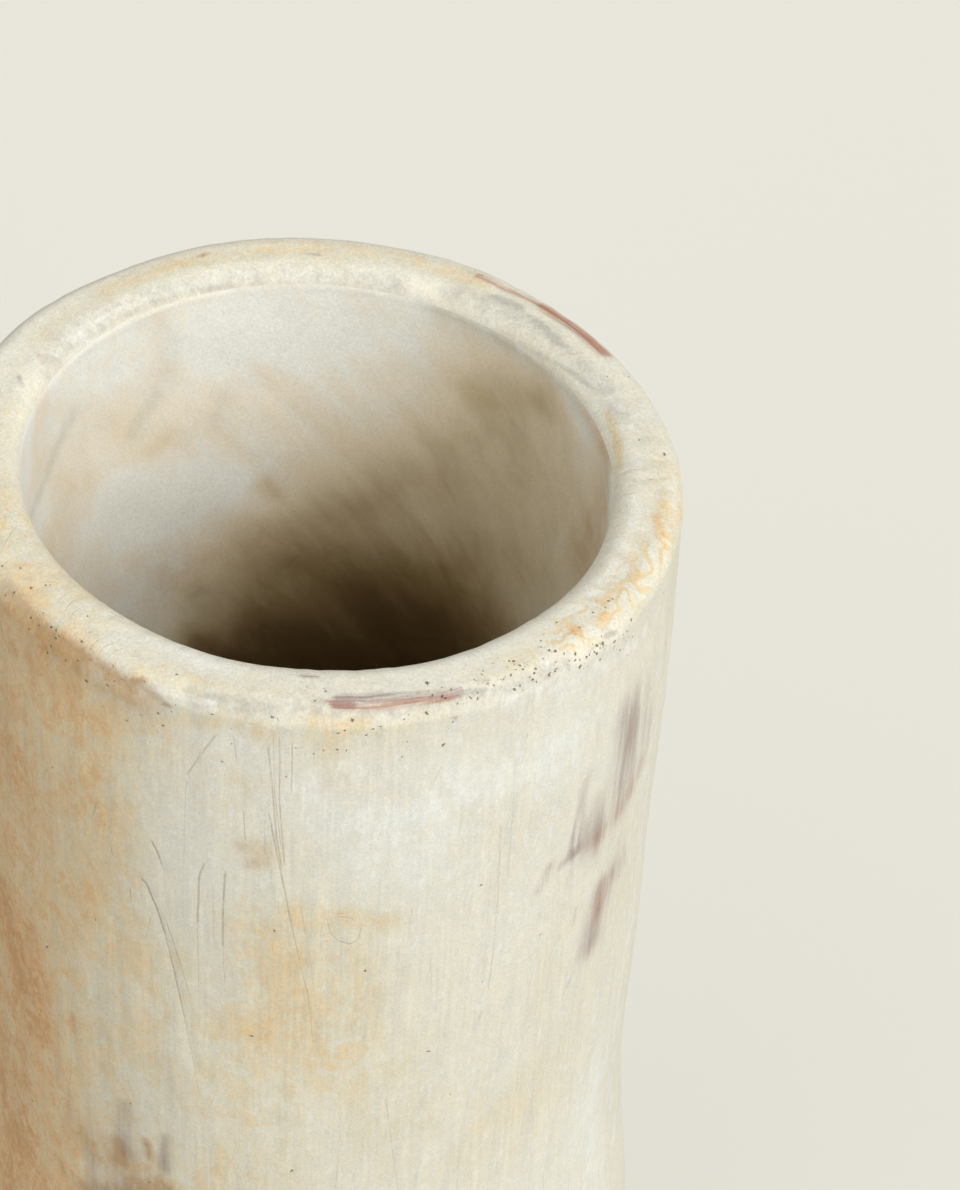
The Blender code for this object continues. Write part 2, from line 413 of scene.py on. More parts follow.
def strayLines(skin, seed, count, length, lean):
    # Seeded lines down the parts of the face that the picture doesn't show: two in three on the back,
    # from under the lip to the foot, and the others on the front's lower half. length is a range in mm.
    draw = np.random.default_rng(seed)
    onBack = np.arange(count) % 3 != 0
    part = unseenParts
    back, front = draw.uniform(*part["backAround"], count), draw.uniform(*part["frontAround"], count)
    degrees = np.where(onBack, back, front)
    back, front = draw.uniform(*part["backDown"], count), draw.uniform(*part["frontDown"], count)
    start = np.where(onBack, back, front)
    run = draw.uniform(*length, count) * 0.001
    around = np.radians(degrees) * skin["look"]["radius"]
    end = np.minimum(start + run, part["lowest"])
    aside = around + lean * draw.normal(0, 1, count) * run
    return np.stack([np.stack([around, start], -1), np.stack([aside, end], -1)], 1)


def layerOf(skin, marks, strays=None):
    # One kind of mark as a value for every grid point: the marks by their picture points and the unseen
    # strays
    total = np.zeros(skin["u"].shape)
    for picture, reach, strength in marks.values():
        total += softStroke(skin, onSurface(skin, picture), reach, strength)
    if strays:
        draw = np.random.default_rng(strays["seed"] + 1)
        for line in strayLines(skin, strays["seed"], strays["count"], strays["length"], strays["lean"]):
            reach, strength = draw.uniform(*strays["reach"]), draw.uniform(*strays["strength"])
            total += softStroke(skin, line, reach, strength)
    return total


scratchNames = ["scratchesA", "scratchesB", "scratchesC", "scratchesD"]


def scratchSets(skin, lines):
    # Scratches as vectors: mm across from the scratch, mm inside its ends, and its strength. A scratch
    # goes into the first set in which it keeps clear of every other, so that each grid point belongs to
    # one at most.
    reach = 0.0019
    keepClear = 1.6 * reach
    empty = np.array([9.0, -9.0, 0.0])
    sets = [np.tile(empty, (*skin["u"].shape, 1)) for _ in scratchNames]
    used = [np.zeros(skin["u"].shape, bool) for _ in sets]
    left = 0
    for line, strength in lines:
        apart, inside = nearLine(skin, line)
        near = (np.abs(apart) < reach) & (inside > -reach)
        free = [k for k in range(len(sets)) if not (used[k] & near).any()]
        if not free:
            left += 1
            continue
        values = np.stack([apart * 1000, inside * 1000, strength + 0 * apart], -1)
        sets[free[0]][near] = values[near]
        used[free[0]] |= np.abs(apart) < keepClear
    print("scratches:", len(lines), "of which", left, "found no room")
    return sets


# The slip coat's worked face
slipCoat = {
    "columns": 430,
    "facing": -88.0,  # the side that the camera sees, in degrees from +X
    "crowding": 0.36,
    "bands": [(0.0166, 0.00045), (0.195, 0.00122), (1.0, 0.0036)],
    "side": 1,
    "radius": 0.0606,
    "closesOnAxis": False,
    "backRows": 18,
    "waves": {  # unevenness: (seed, how many, turns round the vase, waves a metre down, spread in metres)
        "hands": (11, 24, (2, 9), (2, 22), 0.00009),
        "ridges": (12, 40, (14, 70), (1, 14), 0.00003),
        "ripples": (13, 50, (20, 110), (40, 220), 0.000022),
    },
    "lipFlats": {  # the lip's outline by hand: (direction, width in degrees, metres in or out)
        "backRightFlat": (44, 9, -0.00034),
        "backRightKnuckle": (64, 6, 0.00026),
        "backKnuckle": (98, 8, 0.00014),
        "backLeftFlat": (127, 7, -0.00030),
        "leftKnuckle": (155, 8, 0.00024),
        "rightFlat": (357, 8, -0.00022),
        "frontLeftFlat": (222, 9, -0.00020),
        "frontKnuckle": (250, 8, 0.00012),
        "frontRightFlat": (305, 9, -0.00018),
    },
    "dents": {  # shaped marks: (picture points, reach in mm, metres in or out)
        "underLipGroove": (
            [(0, 586), (28, 620), (58, 643), (92, 665), (124, 684), (150, 697)],
            3.0,
            -0.00055,
        ),
        "backRightChip": ([(505, 287), (537, 302), (560, 317), (585, 334), (606, 352)], 2.2, -0.00035),
        "frontWornEdge": ([(334, 706), (395, 706), (455, 694)], 1.8, -0.00022),
        "longCurveGroove": ([(139, 877), (156, 908), (173, 972), (195, 1069)], 1.3, -0.00012),
        "tanBlobRise": ([(252, 852), (262, 857)], 2.6, 0.00008),
    },
}

# The lining's worked face
liningCoat = {
    "columns": 400,
    "facing": 92.0,
    "crowding": 0.34,
    "bands": [(0.010, 0.0005), (0.105, 0.0010), (1.0, 0.0040)],
    "side": -1,
    "radius": 0.0483,
    "closesOnAxis": True,
    "backRows": 18,
    "waves": {  # as the slip coat's
        "hands": (21, 24, (2, 7), (3, 18), 0.00012),
        "fingers": (22, 30, (5, 22), (20, 60), 0.00004),
    },
}

# Marks on the slip, most of them rubbed, worn or stained and some painted light and shade as noted: name:
# (picture points, reach in mm, strength). The picture points may lie outside the frame, where the surface
# still faces the camera.
slipMarks = {
    "ochre": {
        "leftDeep": ([(0, 1040), (18, 1190), (20, 1300)], 16.0, 0.14),
        "bottomOrange": ([(90, 1120), (112, 1150), (152, 1165)], 7.0, 0.24),
        "lowFrontRight": ([(390, 1090), (440, 1130), (520, 1110)], 24.0, 0.12),
        "underLipDab": ([(188, 718), (210, 724)], 3.0, 0.26),
        "middleTopTint": ([(326, 750), (334, 784), (402, 796)], 5.0, 0.14),
        "underLipFrontPale": ([(200, 730), (240, 736)], 5.0, -0.08),
        "underLipFrontLeft": ([(246, 724), (266, 736)], 3.4, 0.26),
        "underLipFront": ([(316, 722), (364, 726)], 3.4, 0.18),
        "upperSpots": ([(232, 780), (262, 784), (226, 806)], 2.2, 0.20),
        "rimLeftPale": ([(-24, 500), (18, 572), (60, 618), (110, 652)], 8.5, -0.26),
        # Ochre down the left side, which turns from the key light: partly rubbed ochre, partly painted shade
        "leftSide": ([(8, 640), (14, 900), (24, 1190), (30, 1420)], 40, 0.78),
        "leftEdge": ([(-40, 760), (-60, 1000), (-70, 1300)], 30, 0.40),
        "leftLower": ([(10, 900), (40, 1060), (70, 1200)], 11, 0.20),
        "leftInner": ([(96, 740), (108, 850), (92, 900)], 10, 0.24),
        "underLip": ([(150, 706), (230, 724), (330, 735), (400, 730)], 5, 0.12),
        "underLipLeft": ([(60, 690), (150, 725)], 9, 0.20),
        "middleBand": ([(258, 925), (268, 1040)], 11, 0.28),
        "middleLow": ([(250, 1040), (250, 1190), (250, 1350)], 14, 0.24),
        "middlePatch": ([(292, 910), (340, 914), (392, 922)], 4.5, 0.26),
        "middleField": ([(300, 950), (345, 985), (330, 1060)], 15, 0.22),
        "lowMiddle": ([(345, 960), (330, 1190)], 14, 0.04),
        "tanBlob": ([(246, 848), (260, 856)], 5.0, 0.22),
        "paleTop": ([(350, 806), (460, 795), (550, 765)], 14, -0.17),
        "paleMiddle": ([(380, 850), (470, 860)], 12, -0.12),
        "paleLowRight": ([(590, 1080), (600, 1300)], 12, -0.15),
        "leftMiddleLow": ([(150, 960), (165, 1080), (175, 1250)], 17, 0.20),
        "dashTint": ([(306, 716), (360, 718)], 3.0, 0.10),
        "dashTintRight": ([(415, 720), (440, 719)], 3.0, 0.08),
        "rimFrontLeft": ([(16, 566), (60, 626), (120, 668), (190, 690)], 4.0, 0.20),
        "rimFrontLeftPale": ([(66, 575), (110, 620), (160, 648), (230, 668)], 2.8, -0.10),
        "rimFront": ([(130, 656), (190, 680), (260, 694), (310, 698)], 4.5, 0.18),
        "lipCorner": ([(200, 706), (230, 712), (300, 716), (400, 714), (470, 700)], 3.4, 0.08),
        "rimFrontRight": ([(480, 672), (560, 645), (604, 612)], 4.5, 0.15),
        "rimOrange": ([(572, 634), (582, 630)], 1.6, 0.30),
        "rimRight": ([(618, 612), (660, 545), (668, 480), (655, 430)], 5, 0.10),
        "rimRightSpots": ([(662, 503), (655, 519), (665, 538)], 1.4, 0.30),
        "rimRightEdge": ([(678, 470), (680, 520)], 1.4, 0.24),
        "rimBackRight": ([(640, 405), (610, 372)], 3.5, 0.08),
        "rimBack": ([(480, 285), (400, 258), (300, 250), (200, 260), (110, 290), (40, 340)], 3.4, 0.26),
        "rimBackOrange": ([(345, 262), (300, 262)], 2.2, 0.14),
        "rimBackLeftSpots": ([(212, 265), (178, 262), (150, 272)], 1.8, 0.24),
        "rimLeft": ([(10, 400), (2, 450)], 4, 0.12),
        "rimLeftLow": ([(-6, 470), (2, 545)], 4.5, 0.28),
        # Paler along the lip's inner rounding at the back, which faces the lamps: painted highlight
        "rimInnerPale": ([(60, 345), (130, 302), (250, 276), (330, 275)], 2.2, -0.06),
        "innerEdgeBrown": ([(606, 412), (616, 440), (620, 468)], 1.6, 0.55),
    },
    "umber": {
        "bottomBand": ([(90, 1192), (160, 1192)], 6.0, 0.75),
        "orangeDabRight": ([(146, 1142), (150, 1156)], 2.2, 0.80),
        "orangeDabHigh": ([(73, 1014), (73, 1030)], 1.6, 0.50),
        "tanBlob": ([(240, 846), (262, 846), (262, 862), (250, 864)], 3.0, 0.50),
        # Darker brown along the groove under the lip, deepest on the line and fading downwards
        "underLipLine": (
            [(0, 592), (20, 614), (40, 634), (60, 650), (92, 670), (124, 690), (144, 700)],
            5.6,
            0.60,
        ),
        "underLipDark": ([(44, 636), (62, 646), (78, 658)], 4.0, 0.50),
        "underLipDarkLow": ([(100, 670), (130, 688)], 2.8, 0.25),
        "underLipWash": ([(6, 640), (60, 676), (124, 706)], 10.0, 0.30),
        "backDarkSpot": ([(199, 256), (206, 254)], 0.9, 1.1),
        "backLeftSpot": ([(38, 357), (43, 362)], 1.2, 0.8),
        "rustSpot": ([(545, 678), (549, 677)], 0.9, 0.8),
        "rimCrossCreaseA": ([(624, 474), (648, 470)], 0.8, 0.5),
        "rimCrossCreaseB": ([(634, 482), (655, 479)], 0.7, 0.4),
        # A darker line along the back rim's outer edge, which faces away from the light: painted shade
        "backEdgeLine": ([(120, 276), (200, 250), (300, 242), (400, 254), (478, 275)], 1.4, 0.35),
        "leftCornerSpot": ([(135, 682), (142, 680)], 1.0, 0.8),
        "cornerSpotB": ([(166, 705), (171, 707)], 0.9, 0.7),
        "leftSmudge": ([(14, 757), (24, 760)], 1.3, 0.45),
        "bottomWash": ([(84, 1140), (110, 1160), (150, 1180)], 10.0, 0.62),
        "orangeDab": ([(118, 1140), (121, 1160)], 2.8, 0.75),
        "orangeDabLow": ([(60, 1160), (64, 1176)], 2.2, 0.60),
    },
    "squiggle": {
        "rimRight": ([(572, 632), (600, 608), (626, 584), (646, 566), (656, 554)], 7.0, 1.45),
        "rimRightHigh": ([(664, 540), (668, 500), (660, 460)], 4.5, 0.6),
        "rimFrontRight": ([(500, 668), (560, 642)], 3.5, 0.35),
    },
    "mauve": {
        "bottomLeftWash": ([(92, 1124), (120, 1150), (150, 1165), (120, 1190)], 11.0, 0.24),
        "bottomLeftHigh": ([(59, 1052), (58, 1076)], 1.8, 0.36),
        "frontDash": ([(338, 700), (380, 697), (420, 696), (458, 692)], 1.9, 1.20),
        "frontDashLow": ([(335, 706), (352, 708)], 1.3, 1.00),
        "innerEdgeDab": ([(302, 676), (318, 677)], 0.9, 1.20),
        "rightPatch": ([(635, 712), (631, 750), (623, 782), (611, 812), (597, 836)], 12.0, 0.70),
        "rightPatchEdge": ([(650, 716), (645, 745), (637, 775)], 6.0, 0.26),
        "rightPatchTop": ([(633, 700), (635, 724)], 9.0, 0.26),
        "rightPatchLeft": ([(595, 800), (592, 838)], 4.0, 0.40),
        "thinStreak": ([(584, 782), (580, 806), (569, 856)], 1.2, 0.62),
        "thinStreakBeside": ([(590, 770), (584, 806), (578, 850)], 1.1, 0.55),
        "thinStreakLow": ([(576, 852), (560, 867)], 2.2, 0.58),
        "thinStreakTop": ([(598, 722), (595, 748)], 1.1, 0.36),
        "smallSpot": ([(549, 868), (540, 890)], 2.4, 0.85),
        "secondPatch": ([(605, 884), (599, 908), (591, 940)], 8.0, 0.98),
        "secondPatchSide": ([(621, 838), (621, 868)], 4.0, 0.36),
        "bottomLeftMain": ([(125, 1106), (124, 1130), (126, 1152)], 3.4, 0.80),
        "bottomLeftSecond": ([(167, 1138), (165, 1168)], 2.6, 0.60),
        "bottomLeftThird": ([(92, 1156), (91, 1178)], 3.4, 0.58),
        "bottomLeftFourth": ([(119, 1162), (120, 1182)], 2.4, 0.52),
        "bottomLeftFaint": ([(70, 1092), (70, 1120)], 2.2, 0.34),
        "bottomLeftRow": ([(78, 1186), (130, 1194)], 3.0, 0.55),
        "backRimLilac": ([(492, 296), (520, 306)], 1.6, 0.42),
    },
    "terracotta": {
        "bottomLeftRight": ([(146, 1144), (149, 1154)], 1.4, 0.50),
        "bottomLeftMiddle": ([(92, 1112), (102, 1138)], 2.4, 0.34),
        "backRightThin": ([(478, 277), (510, 289), (540, 303)], 1.8, 1.10),
        "backRightThick": ([(548, 308), (566, 319), (586, 334), (604, 350)], 3.0, 1.60),
        "frontDash": ([(334, 705), (366, 708), (395, 704), (424, 701), (450, 697)], 1.6, 0.95),
        "frontDashDot": ([(325, 700), (329, 701)], 0.8, 0.90),
        "rightPatchFoot": ([(640, 764), (632, 786), (618, 812), (598, 838)], 5.0, 0.72),
        "smallSpotFoot": ([(545, 876), (541, 884)], 0.9, 0.45),
        "secondPatchTop": ([(606, 880), (599, 908)], 5.0, 0.80),
        "redSpeck": ([(454, 718), (456, 719)], 0.7, 1.1),
        "redCorner": ([(588, 651), (595, 647)], 0.8, 0.5),
        "redCornerB": ([(538, 685), (542, 684)], 0.7, 0.5),
        "bottomLeft": ([(120, 1140), (123, 1156)], 1.8, 0.50),
    },
    "grey": {
        # Grey on the lip's front outer rounding, which the lamps light more than the top or side: painted
        # shade
        "lipEdgeLow": ([(196, 706), (232, 712), (270, 715)], 2.8, 0.22),
        "blobGrey": ([(262, 848), (266, 864), (250, 866)], 2.0, 0.30),
        "innerEdgeSmudge": ([(284, 674), (334, 678)], 0.8, 0.45),
        "nearDash": ([(312, 698), (336, 705)], 1.2, 0.35),
        "cornerSmudge": ([(605, 636), (615, 632)], 1.1, 0.95),
        "cornerDashes": ([(462, 690), (484, 691)], 0.8, 0.60),
        "cornerDashHigh": ([(478, 681), (488, 680)], 0.8, 0.55),
        "rightGreyStroke": ([(624, 846), (626, 864)], 1.4, 0.60),
        "lowGreyStroke": ([(576, 905), (572, 925)], 1.1, 0.50),
        "lowGreyDash": ([(573, 972), (566, 988)], 1.3, 0.60),
        "lineFoot": ([(484, 1008), (474, 1028)], 1.2, 0.50),
        "backStreak": ([(304, 253), (322, 255)], 0.9, 0.70),
        "backGreen": ([(166, 261), (180, 262)], 1.3, 0.55),
        "leftBlue": ([(19, 376), (22, 385)], 1.2, 0.7),
        "leftBlueLow": ([(8, 388), (14, 394)], 1.2, 0.40),
        "backRightLilac": ([(498, 298), (520, 308)], 1.7, 0.50),
        "backRightLilacB": ([(533, 318), (560, 346)], 1.3, 0.50),
        # Grey along the crease inside the lip: painted shade
        "creaseLeft": ([(60, 356), (88, 338), (115, 323), (150, 304), (200, 291), (240, 285)], 1.1, 0.20),
        "creaseRight": ([(512, 343), (555, 363), (590, 386)], 0.9, 0.40),
        "leftBody": ([(76, 838), (76, 880)], 1.8, 0.30),
        "leftBodyLow": ([(60, 985), (58, 1040)], 2.4, 0.35),
        "leftStreak": ([(7, 762), (13, 803)], 1.6, 0.40),
        "patchRight": ([(530, 905), (545, 985)], 6, 0.20),
        # Grey along the lip's inner edge at the back and the right: painted shade
        "rimInnerBack": ([(46, 370), (60, 345), (130, 303), (250, 277), (330, 276), (400, 285)], 5.0, 0.55),
        "backRightGrey": ([(450, 292), (540, 330), (590, 372), (622, 416)], 5.0, 0.56),
        # Grey on the lip's front outer rounding, which the lamps light more than the top or side: painted
        # shade
        "lipEdge": (
            [(190, 694), (230, 701), (300, 708), (400, 710), (460, 702), (520, 683), (566, 664)],
            3.4,
            0.60,
        ),
        "blueDabs": ([(541, 912), (547, 918)], 1.4, 0.32),
    },
    "white": {
        "upperFrontWide": ([(318, 790), (338, 776)], 14.0, 0.18),
        # Paler down the right side, which faces the key light: painted light
        "rightEdge": ([(668, 650), (650, 760), (634, 900), (617, 1020), (612, 1140)], 11.0, 0.46),
        "upperFront": ([(310, 785), (350, 775)], 9.0, 0.30),
        "cornerAbrasion": ([(156, 690), (184, 697), (214, 704)], 1.6, 0.62),
        "cornerAbrasionLow": ([(196, 712), (222, 712)], 1.2, 0.45),
        "underDash": ([(330, 713), (360, 716)], 1.2, 0.20),
        "dashHeart": ([(350, 702), (376, 700)], 0.7, 0.50),
        "rightCorner": ([(510, 704), (570, 680), (620, 655), (650, 628)], 4.0, 0.62),
        # A pale strip on the lip's inner rounding at the back: painted highlight
        "innerRimBack": ([(66, 340), (130, 305)], 1.4, 0.45),
        "rimRightFlat": ([(624, 545), (604, 580), (585, 600)], 2.6, 0.55),
        "rimRightHigh": ([(632, 500), (634, 530)], 2.4, 0.45),
    },
    "pits": {
        "everywhere": ([(300, 900), (320, 900)], 400, 0.005),
        "rimLeft": ([(5, 562), (47, 605), (92, 652), (140, 682)], 5, 0.20),
        "underLipLeft": ([(5, 600), (60, 655), (100, 680)], 5, 0.22),
        "cornerRight": ([(430, 694), (520, 678), (592, 650), (630, 630)], 3.6, 0.85),
        "rimRight": ([(490, 668), (560, 645), (610, 610)], 5, 0.34),
        "underDash": ([(346, 732), (378, 733)], 2.0, 0.75),
        "rimTop": ([(310, 690), (330, 700)], 2.5, 0.35),
        "underLip": ([(150, 712), (230, 735), (330, 745), (430, 735)], 9, 0.12),
        "rimBack": ([(560, 340), (610, 380), (650, 440), (670, 500)], 5, 0.05),
    },
}

# The same kinds of mark where the picture doesn't show the vase: ranges in mm and of strength
slipStrays = {
    "ochre": {
        "seed": 31,
        "count": 16,
        "length": (15, 70),
        "lean": 0.25,
        "reach": (14, 30),
        "strength": (0.1, 0.36),
    },
    "umber": {
        "seed": 33,
        "count": 6,
        "length": (4, 16),
        "lean": 0.3,
        "reach": (4, 9),
        "strength": (0.2, 0.45),
    },
    "mauve": {
        "seed": 35,
        "count": 15,
        "length": (6, 26),
        "lean": 0.14,
        "reach": (2.5, 8.0),
        "strength": (0.35, 0.7),
    },
    "terracotta": {
        "seed": 37,
        "count": 6,
        "length": (3, 9),
        "lean": 0.3,
        "reach": (1, 2),
        "strength": (0.45, 0.8),
    },
    "grey": {
        "seed": 39,
        "count": 14,
        "length": (4, 20),
        "lean": 0.2,
        "reach": (1, 4),
        "strength": (0.3, 0.6),
    },
    "white": {
        "seed": 41,
        "count": 10,
        "length": (5, 25),
        "lean": 0.3,
        "reach": (2, 6),
        "strength": (0.3, 0.6),
    },
}

# Scratches and specks in the slip: name: (picture points, strength)
slipScratches = {
    "hookLow": ([(197, 918), (198, 990)], 0.34),
    "besideHookLow": ([(222, 940), (224, 985)], 0.30),
    "midShortLeft": ([(243, 808), (245, 842)], 0.40),
    "shortArc": ([(402, 786), (399, 798)], 0.45),
    "longCurveHigh": ([(139, 876), (147, 885), (156, 908), (165, 937)], 0.80),
    "longCurveLow": ([(164, 934), (173, 972), (184, 1020)], 0.55),
    "longCurveEnd": ([(180, 1002), (190, 1048), (199, 1092)], 0.26),
    "curveBranch": ([(165, 919), (175, 950), (191, 1002)], 0.40),
    "hookedLine": ([(205, 861), (199, 875), (197, 925)], 0.70),
    "besideHook": ([(225, 870), (223, 900), (222, 948)], 0.70),
    "gougeHigh": ([(97, 801), (92, 817)], 0.7),
    "gougeMiddle": ([(151, 839), (158, 853), (163, 869)], 0.75),
    "gougeLow": ([(139, 876), (145, 881), (151, 893)], 0.75),
    "shortLeft": ([(110, 843), (113, 856)], 0.5),
    "shortLeftLow": ([(130, 886), (131, 900)], 0.5),
    "faintFork": ([(153, 909), (148, 928), (142, 948)], 0.30),
    "slantTop": ([(217, 733), (200, 755), (185, 777)], 0.55),
    "slantFall": ([(186, 777), (184, 825), (184, 866)], 0.28),
    "longRight": ([(267, 745), (272, 787), (276, 837), (281, 868)], 0.62),
    "longRightMiddle": ([(268, 812), (275, 846), (284, 890), (292, 931)], 0.62),
    "longRightLow": ([(291, 925), (300, 965), (308, 997), (313, 1045)], 0.36),
    "besideLongA": ([(273, 735), (274, 790), (281, 850)], 0.40),
    "besideLongB": ([(279, 735), (279, 800), (284, 866)], 0.52),
    "besideLongC": ([(289, 790), (291, 850), (296, 920)], 0.42),
    "besideLongD": ([(300, 905), (310, 960), (316, 1010)], 0.22),
    "plumbLine": ([(284, 734), (284, 778), (286, 812), (288, 862)], 0.62),
    "besidePlumb": ([(292, 742), (291, 794)], 0.45),
    "archTop": ([(305, 737), (296, 755), (293, 776)], 0.46),
    "ringLeft": ([(327, 920), (329, 932), (338, 941), (350, 944), (359, 938), (361, 926)], 0.46),
    "ringTop": ([(357, 922), (350, 918), (338, 917), (330, 920)], 0.36),
    "faintTop": ([(233, 734), (236, 763)], 0.42),
    "middleLine": ([(501, 825), (499, 888), (494, 950), (488, 991)], 0.45),
    "middleShort": ([(491, 880), (490, 893)], 0.45),
    "highSlant": ([(443, 765), (429, 794)], 0.32),
    "highSlantB": ([(457, 775), (446, 800)], 0.25),
    "hairMiddle": ([(462, 806), (460, 838)], 0.28),
    "hairLow": ([(383, 915), (376, 960)], 0.25),
    "hairLowB": ([(412, 905), (408, 940)], 0.25),
    "hairLowC": ([(430, 960), (432, 1010)], 0.25),
    "hairRight": ([(536, 770), (533, 800)], 0.25),
    "rimScratchLeft": ([(18, 524), (10, 534), (2, 548)], 0.40),
    "hatchA": ([(55, 604), (64, 595), (75, 590)], 0.32),
    "hatchB": ([(62, 613), (71, 602), (82, 597)], 0.36),
    "hatchC": ([(66, 623), (75, 611), (87, 605)], 0.32),
    "hatchD": ([(86, 652), (96, 641), (110, 634)], 0.36),
    "hatchE": ([(95, 657), (104, 646), (117, 641)], 0.32),
    "hatchF": ([(104, 661), (112, 652), (125, 647)], 0.30),
    "creaseBackC": ([(629, 404), (625, 409)], 0.45),
    "creaseRightA": ([(622, 474), (650, 470)], 0.40),
    "creaseRightB": ([(632, 483), (656, 479)], 0.35),
    "speckLeftHigh": ([(4, 562), (7, 563)], 1.0),
    "speckLeftA": ([(46, 580), (48, 581)], 0.5),
    "speckLeftB": ([(42, 600), (44, 600)], 0.7),
    "speckLeftC": ([(46, 623), (48, 623)], 0.9),
    "speckLeftD": ([(91, 652), (93, 653)], 0.9),
    "speckLeftE": ([(4, 619), (4, 623)], 0.8),
    "speckLeftF": ([(17, 620), (17, 623)], 0.7),
    "speckPairA": ([(184, 656), (187, 656)], 1.0),
    "speckPairB": ([(185, 661), (188, 662)], 1.0),
    "speckCornerLeft": ([(135, 683), (142, 681)], 0.8),
    "speckCornerPink": ([(168, 706), (170, 708)], 0.8),
    "speckFrontA": ([(262, 718), (260, 724)], 0.9),
    "speckFrontB": ([(284, 727), (282, 732)], 0.75),
    "speckFrontC": ([(216, 729), (218, 730)], 0.5),
    "speckFrontD": ([(200, 714), (202, 715)], 0.6),
    "speckBracket": ([(528, 733), (528, 738), (525, 742)], 0.7),
    "speckLowA": ([(37, 690), (38, 693)], 0.6),
    "speckLowB": ([(77, 725), (79, 728)], 0.6),
    "speckLowD": ([(285, 812), (286, 814)], 0.8),
    "speckDust": ([(165, 889), (166, 892)], 0.7),
    "speckDashA": ([(349, 731), (351, 734)], 0.8),
    "speckDashB": ([(360, 731), (362, 731)], 0.7),
    "speckDashC": ([(375, 733), (377, 734)], 0.9),
    "speckSmall": ([(319, 686), (320, 688)], 0.5),
    "speckCornerA": ([(474, 677), (476, 679)], 0.8),
    "speckCornerB": ([(479, 669), (483, 669)], 0.8),
    "speckCornerC": ([(520, 674), (523, 675)], 0.9),
    "speckCornerD": ([(532, 656), (535, 657)], 0.9),
    "speckCornerE": ([(506, 654), (508, 656)], 0.7),
    "speckCornerF": ([(567, 668), (570, 671)], 0.8),
    "speckCornerG": ([(575, 653), (577, 655)], 0.8),
    "speckCornerH": ([(591, 649), (594, 650)], 0.8),
}

# Seeded hairlines all round the body
slipHairlines = {
    "seed": 51,
    "count": 230,
    "length": (5, 30),  # mm
    "lean": 0.08,
    "strength": (0.10, 0.34),
    "down": (0.018, 0.270),  # where they start, in metres down the section
    "lowest": 0.291,
}


def hairlines(skin):
    look = slipHairlines
    count = look["count"]
    draw = np.random.default_rng(look["seed"])
    start = np.stack([draw.uniform(0, skin["period"], count), draw.uniform(*look["down"], count)], -1)
    run = draw.uniform(*look["length"], count) * 0.001
    end = start + np.stack([look["lean"] * draw.normal(0, 1, count) * run, run], -1)
    end[:, 1] = np.minimum(end[:, 1], look["lowest"])
    return list(zip(np.stack([start, end], 1), draw.uniform(*look["strength"], count)))


def seamGroove(along):
    # Where slip and lining meet inside the lip, both round off: 0.05 mm at the edge, nothing 1 mm from it
    return 0.00005 * (1 - ease(along / 0.0010))


def slipRelief(skin):
    # Height of the brushed surface over the plain section: slow swells left by the hands, tall shallow
    # trowel ridges, small dents, the lip's flats and knuckles, and the shaped marks. It dies out at the
    # two edges.
    angle = skin["angles"][None, :]
    along = skin["rows"][:, None]
    uneven = sum(waves(angle, along, *look) for look in slipCoat["waves"].values())
    nearLip = 1 - ease((along - 0.012) / 0.035)
    flats = slipCoat["lipFlats"].values()
    flats = sum(depth * bumpAt(angle, centre, width) for centre, width, depth in flats)
    onOutside = ease((along - 0.006) / 0.006)
    shaped = layerOf(skin, slipCoat["dents"])
    edges = ease(along / 0.0025)
    return (uneven + flats * nearLip * onOutside + shaped) * edges - seamGroove(along)
